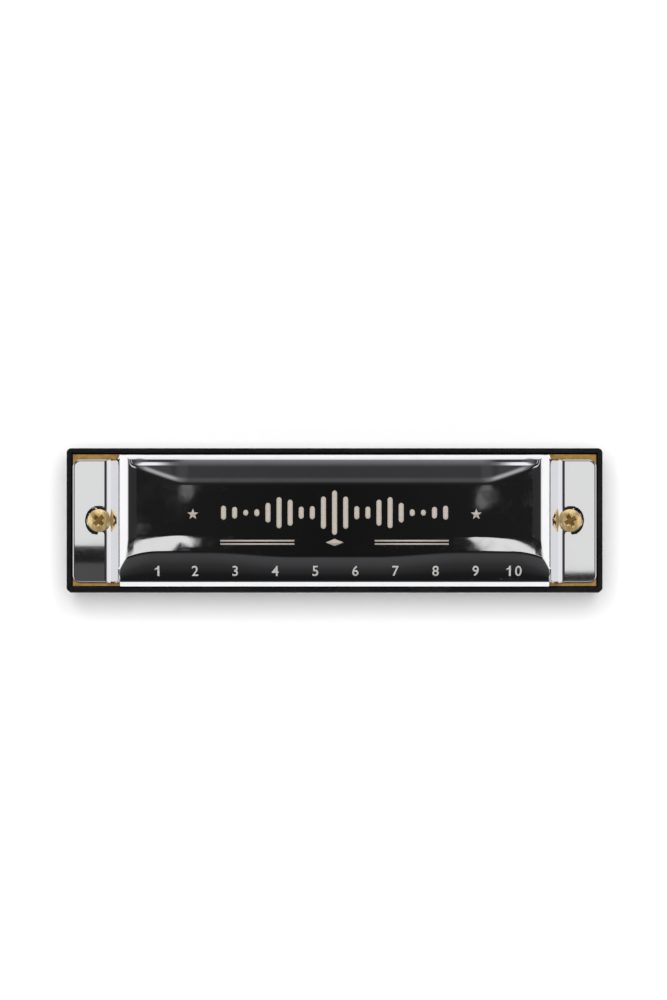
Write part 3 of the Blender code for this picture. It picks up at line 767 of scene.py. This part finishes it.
def print_shape(name, shape, material):
    """A piece of printed ink with its small real thickness."""
    made = piece(name, shape, material)
    solid = made.modifiers.new("ink", "SOLIDIFY")
    solid.thickness = PRINT_THICKNESS
    solid.offset = 1.0
    apply_modifiers(made)
    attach(made, ROOT)


def add_flat(shape, outline):
    """Adds a flat upward face."""
    face = shape.faces.new([shape.verts.new((x, y, 0.0)) for x, y in outline])
    if face.normal.z < 0:
        face.normal_flip()


def add_one(shape, centre_x, height):
    add_flat(shape, [(centre_x + x * height, y * height) for x, y in ONE_OUTLINE])


def number_shape(text, height):
    """A flat numeral centred on the origin."""
    curve = bpy.data.curves.new("numeral", "FONT")
    curve.body = text
    curve.align_x = "CENTER"
    curve.size = 1.0
    curve.offset = 0.01
    curve.resolution_u = 6
    holder = new_object("numeral", curve)
    graph = bpy.context.evaluated_depsgraph_get()
    mesh = bpy.data.meshes.new_from_object(holder.evaluated_get(graph))
    bpy.data.objects.remove(holder)
    shape = bmesh.new()
    shape.from_mesh(mesh)
    bmesh.ops.remove_doubles(shape, verts=shape.verts, dist=1e-5)
    lows = [min(vert.co[axis] for vert in shape.verts) for axis in range(2)]
    highs = [max(vert.co[axis] for vert in shape.verts) for axis in range(2)]
    scale = height / (highs[1] - lows[1])
    for vert in shape.verts:
        vert.co.x = (vert.co.x - (lows[0] + highs[0]) / 2) * scale
        vert.co.y = (vert.co.y - (lows[1] + highs[1]) / 2) * scale
        vert.co.z = 0.0
    return shape


def make_numbers():
    """The holes' numbers. The one is a drawn shape, and the ten is a one beside a zero."""
    for number in range(1, HOLES + 1):
        at_end = number in (1, HOLES)
        shape = bmesh.new() if number == 1 else number_shape(str(number)[-1], NUMBER_HEIGHT)
        if number == HOLES:
            bmesh.ops.translate(shape, verts=shape.verts, vec=(TEN_ZERO_X, 0, 0))
        if at_end:
            add_one(shape, 0.0 if number == 1 else TEN_ONE_X, NUMBER_HEIGHT)
        x = hole_offset(number) * NUMBER_PITCH + NUMBER_SHIFT
        if at_end:
            x -= math.copysign(NUMBER_END_SHIFT, x)
        bmesh.ops.translate(shape, verts=shape.verts, vec=(x, NUMBER_Y, 0))
        slice_flat(shape, NUMBER_SLICE)
        lay_on_cover(shape, PRINT_LIFT)
        print_shape(f"hole_number_{number:02d}", shape, "number_print")


def star(centre, radius):
    """A five-pointed star."""
    points = []
    for step in range(10):
        reach = radius if step % 2 == 0 else radius * STAR_WAIST
        turn = math.radians(90 + 36 * step)
        points.append((centre[0] + reach * math.cos(turn), centre[1] + reach * math.sin(turn)))
    return points


def rounded_bar(x, low, high, width):
    """An upright bar with round ends."""
    half = width / 2
    return arc(x, high - half, half, 0, 180) + arc(x, low + half, half, 180, 180)


def make_ornament():
    """A plain ornament: upright bars that swell and fade, two stars, two pairs of rules and a lozenge."""
    shape = bmesh.new()
    for step in range(-BARS_EACH_SIDE, BARS_EACH_SIDE + 1):
        swell = 0.30 + 0.70 * math.cos(step * math.pi / 22) ** 2
        beat = 0.62 + 0.38 * math.cos(step * math.pi / 2.5)
        half = BAR_HALF_HEIGHT * swell * beat
        add_flat(shape, rounded_bar(step * BAR_PITCH, BAR_MIDDLE_Y - half, BAR_MIDDLE_Y + half, BAR_WIDTH))
    for side in (-1, 1):
        add_flat(shape, star((side * STAR_X, STAR_Y), STAR_RADIUS))
        left, right = sorted(side * x for x in RULE_X)
        for y in RULE_YS:
            low, high = y - RULE_HALF_WIDTH, y + RULE_HALF_WIDTH
            add_flat(shape, ((left, low), (right, low), (right, high), (left, high)))
    lozenge = ((0, 1), (-1, 0), (0, -1), (1, 0))
    add_flat(shape, [(x * LOZENGE_HALF_X, LOZENGE_Y + y * LOZENGE_HALF_Y) for x, y in lozenge])
    slice_flat(shape, ORNAMENT_SLICE)
    lay_on_cover(shape, PRINT_LIFT / 2)
    print_shape("printed_ornament", shape, "cream_print")


# Comb

COMB_CORNER = 0.9 * MM
COMB_NOSE = 0.7 * MM
COMB_EASING = 0.15 * MM
RIM_FRONT = 1.08 * MM
RIM_WIDTH = 0.9 * MM
WEB_HALF_HEIGHT = 3.1 * MM
CUT_REACH = 6.0 * MM
CHANNEL_HALF_WIDTH = 2.4 * MM
CHANNEL_FRONT_Y = -10.4 * MM
CHANNEL_PAST_REED = 0.6 * MM
MOUTH_REAR_Y = -9.9 * MM
MOUTH_HALF_HEIGHT = 2.5 * MM
COVER_SCREW_BORE = 1.25 * MM
PLATE_SCREW_BORE = 0.95 * MM
PLATE_SCREWS = 5


def comb_outline():
    """The comb in plan: cut-off corners at the nose and rounded ones at the rear."""
    low, high = COMB_LOW, COMB_HIGH
    nose = [(low.x + COMB_NOSE, low.y), (high.x - COMB_NOSE, low.y), (high.x, low.y + COMB_NOSE)]
    centre_y = high.y - COMB_CORNER
    right = arc(high.x - COMB_CORNER, centre_y, COMB_CORNER, 0, 90)
    left = arc(low.x + COMB_CORNER, centre_y, COMB_CORNER, 90, 90)
    return nose + right + left + [(low.x, low.y + COMB_NOSE)]


def comb_blank():
    """The uncut comb with its rounded nose, split so that no large face closes over a recess."""
    shape = bmesh.new()
    add_prism(shape, comb_outline(), COMB_LOW.z, COMB_HIGH.z)
    front = [
        edge for edge in shape.edges
        if abs(edge.verts[0].co.z - edge.verts[1].co.z) < TINY
        and max(vert.co.y for vert in edge.verts) < COMB_LOW.y + TINY
    ]
    bmesh.ops.bevel(shape, geom=front, offset=COMB_NOSE, segments=8, profile=0.5, affect="EDGES")
    for across in ((1, 0, 0), (0, 1, 0)):
        geometry = list(shape.verts) + list(shape.edges) + list(shape.faces)
        bmesh.ops.bisect_plane(shape, geom=geometry, plane_co=(0, 0, 0), plane_no=across, dist=SPECK)
    return shape


def comb_recesses():
    """The two recesses that hold the reed plates."""
    shape = bmesh.new()
    left, right = COMB_LOW.x + RIM_WIDTH, COMB_HIGH.x - RIM_WIDTH
    front, rear = COMB_LOW.y + RIM_FRONT, COMB_HIGH.y - RIM_WIDTH
    add_box(shape, (left, front, MID_Z + WEB_HALF_HEIGHT), (right, rear, MID_Z + CUT_REACH))
    add_box(shape, (left, front, MID_Z - CUT_REACH), (right, rear, MID_Z - WEB_HALF_HEIGHT))
    return shape


def comb_channels():
    """One channel behind each mouth hole, as long as its reeds."""
    shape = bmesh.new()
    for number in range(1, HOLES + 1):
        x = hole_offset(number) * PITCH
        rear_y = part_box(f"blow_reed_{number:02d}")[1].y + CHANNEL_PAST_REED
        low = (x - CHANNEL_HALF_WIDTH, CHANNEL_FRONT_Y, MID_Z - CUT_REACH)
        add_box(shape, low, (x + CHANNEL_HALF_WIDTH, rear_y, MID_Z + CUT_REACH))
    return shape


def comb_mouths():
    """The square mouth holes in the nose."""
    shape = bmesh.new()
    for number in range(1, HOLES + 1):
        x = hole_offset(number) * PITCH
        low = (x - CHANNEL_HALF_WIDTH, COMB_LOW.y - MM, MID_Z - MOUTH_HALF_HEIGHT)
        add_box(shape, low, (x + CHANNEL_HALF_WIDTH, MOUTH_REAR_Y, MID_Z + MOUTH_HALF_HEIGHT))
    return shape


def comb_bores():
    """Clear bores for the cover screws and the plate screws."""
    shape = bmesh.new()
    low, high = MID_Z - CUT_REACH, MID_Z + CUT_REACH
    for side in (-1, 1):
        add_prism(shape, circle((side * COVER_SCREW_X, 0), COVER_SCREW_BORE, 32), low, high)
    for index in range(1, PLATE_SCREWS + 1):
        place = middle_of(f"reed_plate_screw_{index}")
        add_prism(shape, circle(place, PLATE_SCREW_BORE, 24), low, high)
    return shape


def make_comb():
    """The comb with its two recesses, ten channels, ten mouth holes and bores, and every edge eased."""
    comb = piece("comb_body", comb_blank(), "black_plastic")
    for shape in (comb_recesses(), comb_channels(), comb_mouths(), comb_bores()):
        cut(comb, shape)
    round_edges(comb, COMB_EASING, 3)
    comb.data.shade_smooth()
    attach(comb, ROOT)
    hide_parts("comb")


# Reeds, rivets and screws

# Half widths of a reed's pad and how far behind its root they are, in millimetres
REED_PAD = ((1.25, 3.0), (1.6, 2.7), (1.6, 0.55), (1.35, 0.2), (1.0, 0.0))
TONGUE_HALF_WIDTH = 1.0 * MM
TONGUE_STEPS = 24
PAD_HOLE = 0.6 * MM
PAD_HOLE_BACK = 1.5 * MM

RIVET_HEAD = (0.8 * MM, 0.25 * MM)
RIVET_TAIL = (0.72 * MM, 0.2 * MM)
RIVET_SHANK = 0.45 * MM

# A pan head's side, in shares of its radius and height
PAN_HEAD = (
    (0.995, 0.06), (1.0, 0.16), (0.985, 0.26), (0.95, 0.35), (0.89, 0.45), (0.80, 0.57),
    (0.71, 0.69), (0.62, 0.80), (0.53, 0.88), (0.44, 0.94), (0.33, 0.98), (0.18, 1.0),
)
PAN_HEIGHT = 0.9 * MM
CROSS_DEPTH = 0.5 * MM
CROSS_CLEARANCE = 0.3 * MM
CROSS_LENGTH = 3.1 * MM
CROSS_WIDTH = 0.8 * MM
CROSS_SCALES = (0.7, 1.15)
RECESS_REACH = 1.65 * MM
THREAD_PITCH = 0.4 * MM
THREAD_ROOT = 0.78 * MM
THREAD_CREST = 0.94 * MM
NUT_BORE = 1.05 * MM

PLATE_SCREW_HEAD_HEIGHT = 0.7 * MM
PLATE_SCREW_SHANK = 0.8 * MM
PLATE_SCREW_TIP = 0.68 * MM
SLOT_HALF_LENGTH = 2 * MM
SLOT_HALF_WIDTH = 0.22 * MM
SLOT_DEPTH = 0.35 * MM


def reed_outline(length, direction):
    """(half width, y) pairs along a reed from its pad's end to its tip."""
    rows = [(half * MM, -back * MM * direction) for half, back in REED_PAD]
    for step in range(1, TONGUE_STEPS + 1):
        rows.append((TONGUE_HALF_WIDTH, length * direction * step / TONGUE_STEPS))
    return rows


def reed_thickness(share):
    """Share of full thickness along a tongue: filed thinner past its root, a little thicker at its tip."""
    return 1.0 - 0.35 * smooth(0.02, 0.3, share) + 0.2 * smooth(0.55, 1.0, share)


def make_reed(node, joint):
    """A filed brass tongue on its pad, rooted where its joint sits."""
    low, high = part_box(node)
    root = Vector(joint["pos_m"])
    direction = 1 if high.y - root.y > root.y - low.y else -1
    length = high.y - root.y if direction > 0 else root.y - low.y
    full = (high.z - low.z) / 2
    shape = bmesh.new()
    rings = []
    for half, y in reed_outline(length, direction):
        top = 2 * full * reed_thickness(y * direction / length) - full
        flat = ((-half, -full), (half, -full), (half, top), (-half, top))
        rings.append([shape.verts.new((root.x + x, root.y + y, root.z + z)) for x, z in flat])
    close_rings(shape, rings)
    bmesh.ops.recalc_face_normals(shape, faces=shape.faces)
    reed = piece(f"{node}_strip", shape, "reed_brass")
    hole = bmesh.new()
    centre = (root.x, root.y - PAD_HOLE_BACK * direction)
    add_prism(hole, circle(centre, PAD_HOLE, 24), root.z - MM, root.z + MM)
    cut(reed, hole)
    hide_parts(node)
    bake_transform(reed)


def domed(radius, height, steps):
    """(radius, height) pairs of a shallow dome from its rim to its top."""
    points = []
    for step in range(steps + 1):
        turn = math.radians(86 * step / steps)
        points.append((radius * math.cos(turn), height * math.sin(turn)))
    return points


def hanging_head(radius, height, steps):
    """A dome's profile from its lowest point up to its rim."""
    return [(reach, height - up) for reach, up in domed(radius, height, steps)[::-1]]


def make_rivet(node):
    """A rivet with a domed head and a domed tail."""
    low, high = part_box(node)
    tail_start = high.z - low.z - RIVET_TAIL[1]
    tail = [(radius, tail_start + height) for radius, height in domed(*RIVET_TAIL, 4)]
    shank = [(RIVET_SHANK, RIVET_HEAD[1]), (RIVET_SHANK, tail_start)]
    shape = turned(hanging_head(*RIVET_HEAD, 5) + shank + tail, 20)
    rivet = piece(f"{node}_domed", shape, "reed_brass")
    rivet.location = (*middle_of(node), low.z)
    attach(rivet, ROOT)
    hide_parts(node)


def tapered_cross(top):
    """A cross recess whose arms narrow towards its floor."""
    shape = bmesh.new()
    rings = []
    for height, scale in zip((top - CROSS_DEPTH, top + CROSS_CLEARANCE), CROSS_SCALES):
        long, narrow = CROSS_LENGTH * scale / 2, CROSS_WIDTH * (0.5 + scale / 2) / 2
        arms = (
            (-narrow, -long), (narrow, -long), (narrow, -narrow), (long, -narrow),
            (long, narrow), (narrow, narrow), (narrow, long), (-narrow, long),
            (-narrow, narrow), (-long, narrow), (-long, -narrow), (-narrow, -narrow),
        )
        rings.append([shape.verts.new((x, y, height)) for x, y in arms])
    close_rings(shape, rings)
    return shape


def mark_recess(screw):
    """Gives the walls and floor of a screw's cross recess a darker brass, as painted shade in the recess."""
    screw.data.materials.append(MATERIALS["recess_shade_brass"])
    for face in screw.data.polygons:
        centre = face.center
        over_rim = centre.z > 0.15 * MM and centre.xy.length < RECESS_REACH
        if over_rim and (face.normal.z < 0.5 or centre.z < PAN_HEIGHT * 0.6):
            face.material_index = 1


def make_cover_screw(node, turn):
    """A pan-head screw with a cross recess and a threaded shank."""
    low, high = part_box(node)
    head_radius = (high.x - low.x) / 2 * 0.995
    length = SCREW_SEAT - low.z
    profile = [(0.6 * MM, -length), (0.8 * MM, -length + 0.15 * MM)]
    for index in range(int(length / THREAD_PITCH) - 2):
        bottom = -length + THREAD_PITCH * (index + 0.5)
        crest = bottom + 0.17 * MM
        profile += [(THREAD_ROOT, bottom), (THREAD_CREST, crest), (THREAD_CREST, crest + 0.04 * MM)]
    profile += [(0.85 * MM, 0.0), (head_radius * 0.96, 0.0)]
    profile += [(head_radius * across, PAN_HEIGHT * up) for across, up in PAN_HEAD]
    screw = piece(f"{node}_turned", turned(profile, 64), "screw_brass")
    cut(screw, tapered_cross(PAN_HEIGHT))
    mark_recess(screw)
    round_edges(screw, 0.04 * MM, 2)
    screw.data.shade_smooth()
    screw.data.set_sharp_from_angle(angle=math.radians(45))
    screw.rotation_euler.z = math.radians(turn)
    screw.location = (*middle_of(node), SCREW_SEAT)
    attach(screw, ROOT)
    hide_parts(node)


def make_nut(node):
    """A hexagon nut with eased corners."""
    low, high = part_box(node)
    height = high.z - low.z
    apothem = (high.x - low.x) / 2
    nut_shape = bmesh.new()
    add_prism(nut_shape, circle((0, 0), apothem / math.cos(math.radians(30)), 6), 0, height)
    nut = piece(f"{node}_hex", nut_shape, "screw_brass")
    bore = bmesh.new()
    add_prism(bore, circle((0, 0), NUT_BORE, 40), -MM, height + MM)
    cut(nut, bore)
    round_edges(nut, 0.15 * MM, 3)
    nut.location = (*middle_of(node), NUT_SEAT - height)
    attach(nut, ROOT)
    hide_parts(node)


def make_plate_screw(node, turn):
    """A small slotted screw, head down, that clamps the two plates."""
    low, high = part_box(node)
    length = high.z - low.z
    head = hanging_head((high.x - low.x) / 2 * 0.99, PLATE_SCREW_HEAD_HEIGHT, 7)
    shank = [
        (PLATE_SCREW_SHANK, PLATE_SCREW_HEAD_HEIGHT), (PLATE_SCREW_SHANK, length - 0.1 * MM),
        (PLATE_SCREW_TIP, length),
    ]
    screw = piece(f"{node}_domed", turned(head + shank, 40), "nickel")
    slot = bmesh.new()
    low_corner = (-SLOT_HALF_LENGTH, -SLOT_HALF_WIDTH, -MM)
    add_box(slot, low_corner, (SLOT_HALF_LENGTH, SLOT_HALF_WIDTH, SLOT_DEPTH))
    cut(screw, slot)
    screw.rotation_euler.z = math.radians(turn)
    screw.location = (*middle_of(node), low.z)
    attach(screw, ROOT)
    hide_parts(node)


def dress_plates():
    """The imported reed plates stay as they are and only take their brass."""
    for node in ("upper_reed_plate", "lower_reed_plate"):
        plate = frame["nodes"][node]
        plate.data.materials.clear()
        plate.data.materials.append(MATERIALS["plate_brass"])


# Stage: floor, lights and camera

CAMERA_PLACE = Vector((-0.0002, 0.0039, 1.015))
CAMERA_SPAN = 0.1901
FLOOR_REACH = 5.0
FLOOR_FADE = (0.16, 0.55)
BACKDROP = 0.96
FILL = 0.36
PALE = 0.80
DIM = 0.065
GLOW = 0.12

# Lights level with the camera that the tabs mirror, pale behind an edge and dim in front of it, by side
TAB_STRIP_X = (83 * MM, 125 * MM)
TAB_STRIP_ENDS = (-60 * MM, 160 * MM)
TAB_STRIP_EDGES = ((-1, -13.5 * MM, -20.0 * MM), (1, -23.5 * MM, -26.5 * MM))
FRONT_SIDE_X = (84 * MM, 320 * MM)
FRONT_SIDE_Y = (-600 * MM, -300 * MM)

# Oval lights that the crown and the plateau mirror: middle and size in millimetres, lean in degrees
OVALS = (
    ("left_blade", (-69.6, -285), (17.2, 490), -2.6, PALE),
    ("left_spot", (-56.0, -195), (5.0, 195), 0.0, PALE),
    ("right_blade", (68, -330), (19, 480), 3.2, PALE),
    ("left_glow", (-56, 7), (6, 8), 0.0, GLOW),
    ("right_glow", (57, 5), (6, 10), -25, GLOW),
)
KEY_PLACE = (0.0, 0.22, 1.5)
KEY_SIZE = (0.8, 0.8)
KEY_RADIANCE = 11.0


def floor_material():
    """A pale mottled sheet that brightens to the backdrop's own level away from the instrument."""
    n = Surface("pale_floor")
    mottle = n.noise(6, 3, 0.5)
    away = n.add("ShaderNodeVectorMath", operation="LENGTH")
    n.link(n.place, away.inputs[0])
    far = n.ranged(away.outputs["Value"], *FLOOR_FADE, 0.0, 1.0)
    sheet = n.mixed(mottle, (0.84, 0.84, 0.85), (0.87, 0.87, 0.875))
    faded = n.mixed(far, (1.0, 1.0, 1.0), (0.0, 0.0, 0.0))
    n.link(n.joined("MULTIPLY", sheet, faded), n.shader.inputs["Base Color"])
    n.link(n.mixed(far, (0.0, 0.0, 0.0), (BACKDROP, BACKDROP, BACKDROP)), n.shader.inputs["Emission Color"])
    n.set(Roughness=0.85, Specular_IOR_Level=0.0, Emission_Strength=1.0)
    return n.material


def make_floor():
    """A wide round sheet under the instrument."""
    shape = bmesh.new()
    add_flat(shape, circle((0, 0), FLOOR_REACH, 96))
    floor = shape_object("floor", shape)
    floor.data.materials.append(floor_material())


def soft_box(name, place, size, radiance):
    """A rectangular soft light that faces down. radiance is how bright a mirror shows it."""
    light = bpy.data.lights.new(name, "AREA")
    light.shape = "RECTANGLE"
    light.size, light.size_y = size
    light.energy = radiance * math.pi * size[0] * size[1]
    holder = new_object(name, light)
    holder.location = place
    holder.visible_camera = False
    return holder


def overhead(name, low, high, radiance):
    """A soft light that hangs level with the camera over a rectangle given by two corners."""
    middle = ((low[0] + high[0]) / 2, (low[1] + high[1]) / 2, CAMERA_PLACE.z)
    soft_box(name, middle, (abs(high[0] - low[0]), abs(high[1] - low[1])), radiance)


def oval(name, middle, size, lean, radiance):
    """A long oval light level with the camera, turned about the vertical."""
    place = (middle[0] * MM, middle[1] * MM, CAMERA_PLACE.z)
    light = soft_box(name, place, (size[0] * MM, size[1] * MM), radiance)
    light.data.shape = "ELLIPSE"
    light.data.energy *= math.pi / 4
    light.rotation_euler.z = math.radians(lean)


def make_lights():
    """Lights level with the camera for the chrome, and a key light for matt surfaces."""
    inner, outer = TAB_STRIP_X
    front, rear = TAB_STRIP_ENDS
    for side, pale_edge, dim_edge in TAB_STRIP_EDGES:
        overhead(f"pale_strip_{side}", (side * inner, pale_edge), (side * outer, rear), PALE)
        overhead(f"dim_strip_{side}", (side * inner, front), (side * outer, dim_edge), DIM)
        low = (side * FRONT_SIDE_X[0], FRONT_SIDE_Y[0])
        overhead(f"front_side_{side}", low, (side * FRONT_SIDE_X[1], FRONT_SIDE_Y[1]), PALE)
    for settings in OVALS:
        oval(*settings)
    key = soft_box("key", KEY_PLACE, KEY_SIZE, KEY_RADIANCE)
    key.rotation_euler = (-Vector(KEY_PLACE)).to_track_quat("-Z", "Y").to_euler()
    key.visible_glossy = False


# What a mirror sees around it, as (position, level) pairs along X and from front to rear, with their fades
SIDE_STOPS = (
    (0.0, 0.004), (0.05, 0.010), (0.07, 0.019), (0.15, 0.03), (0.42, 0.06), (0.6, 0.12), (0.7, 0.45),
    (0.82, 0.86), (1.0, 0.9),
)
DEPTH_STOPS = (
    (0.0, 0.06), (0.06, 0.03), (0.16, 0.012), (0.28, 0.004), (0.5, 0.004), (0.6, 0.02), (0.66, 0.04),
    (0.78, 0.2), (0.85, 0.5), (0.92, 0.95), (1.0, 1.0),
)
ASIDE_FADE = ((0.0, 1.0), (0.3, 1.0), (0.62, 0.25), (1.0, 0.25))
DIAGONAL_STOPS = ((0.0, 0.0), (0.2, 0.0), (0.42, 0.12), (1.0, 0.12))
FRONT_STOPS = ((0.0, 1.0), (0.22, 1.0), (0.36, 0.0), (1.0, 0.0))


def make_world():
    """Bright banks to the sides and rear for a mirror, a pale backdrop for the camera, an even fill."""
    world = bpy.data.worlds.new("studio")
    bpy.context.scene.world = world
    world.use_nodes = True
    room = Nodes(world.node_tree, "Generated")
    by_x, by_y = room.aside("X"), room.aside("Y")
    by_depth = room.ranged(room.along("Y"), -1.0, 1.0, 0.0, 1.0)
    sides = room.joined("MULTIPLY", room.ramp(by_x, SIDE_STOPS), room.ramp(by_y, ASIDE_FADE))
    depths = room.joined("MULTIPLY", room.ramp(by_depth, DEPTH_STOPS), room.ramp(by_x, ASIDE_FADE))
    diagonals = room.joined("MULTIPLY", room.ramp(by_x, DIAGONAL_STOPS), room.ramp(by_depth, FRONT_STOPS))
    seen = room.joined("ADD", room.joined("ADD", sides, depths), diagonals)
    rays = room.add("ShaderNodeLightPath")
    for ray, level in (("Is Diffuse Ray", FILL), ("Is Camera Ray", BACKDROP)):
        mix = room.add("ShaderNodeMix", data_type="RGBA")
        mix.inputs["B"].default_value = (level, level, level, 1)
        room.link(seen, mix.inputs["A"])
        room.link(rays.outputs[ray], mix.inputs["Factor"])
        seen = mix.outputs["Result"]
    room.link(seen, room.tree.nodes["Background"].inputs["Color"])


def make_camera():
    """Straight above the instrument, with a long lens."""
    data = bpy.data.cameras.new("camera")
    data.sensor_width = 36.0
    data.lens = data.sensor_width * (CAMERA_PLACE.z - COMB_HIGH.z) / CAMERA_SPAN
    data.clip_end = 50.0
    camera = new_object("camera", data)
    camera.location = CAMERA_PLACE
    bpy.context.scene.camera = camera


def make_all():
    """Builds every piece, then the stage."""
    make_cover("upper_cover_shell", "upper_cover", 1)
    make_cover("lower_cover_shell", "lower_cover", -1)
    make_numbers()
    make_ornament()
    make_comb()
    dress_plates()
    for joint in frame["joints"]:
        make_reed(joint["child"], joint)
    for kind in ("blow", "draw"):
        for number in range(1, HOLES + 1):
            make_rivet(f"{kind}_rivet_{number:02d}")
    make_cover_screw("cover_screw_left", 45)
    make_cover_screw("cover_screw_right", 28)
    make_nut("cover_nut_left")
    make_nut("cover_nut_right")
    for index in range(1, PLATE_SCREWS + 1):
        make_plate_screw(f"reed_plate_screw_{index}", 37 * index)
    make_floor()
    make_lights()
    make_world()
    make_camera()
    bpy.context.scene.view_settings.view_transform = "Standard"


make_all()
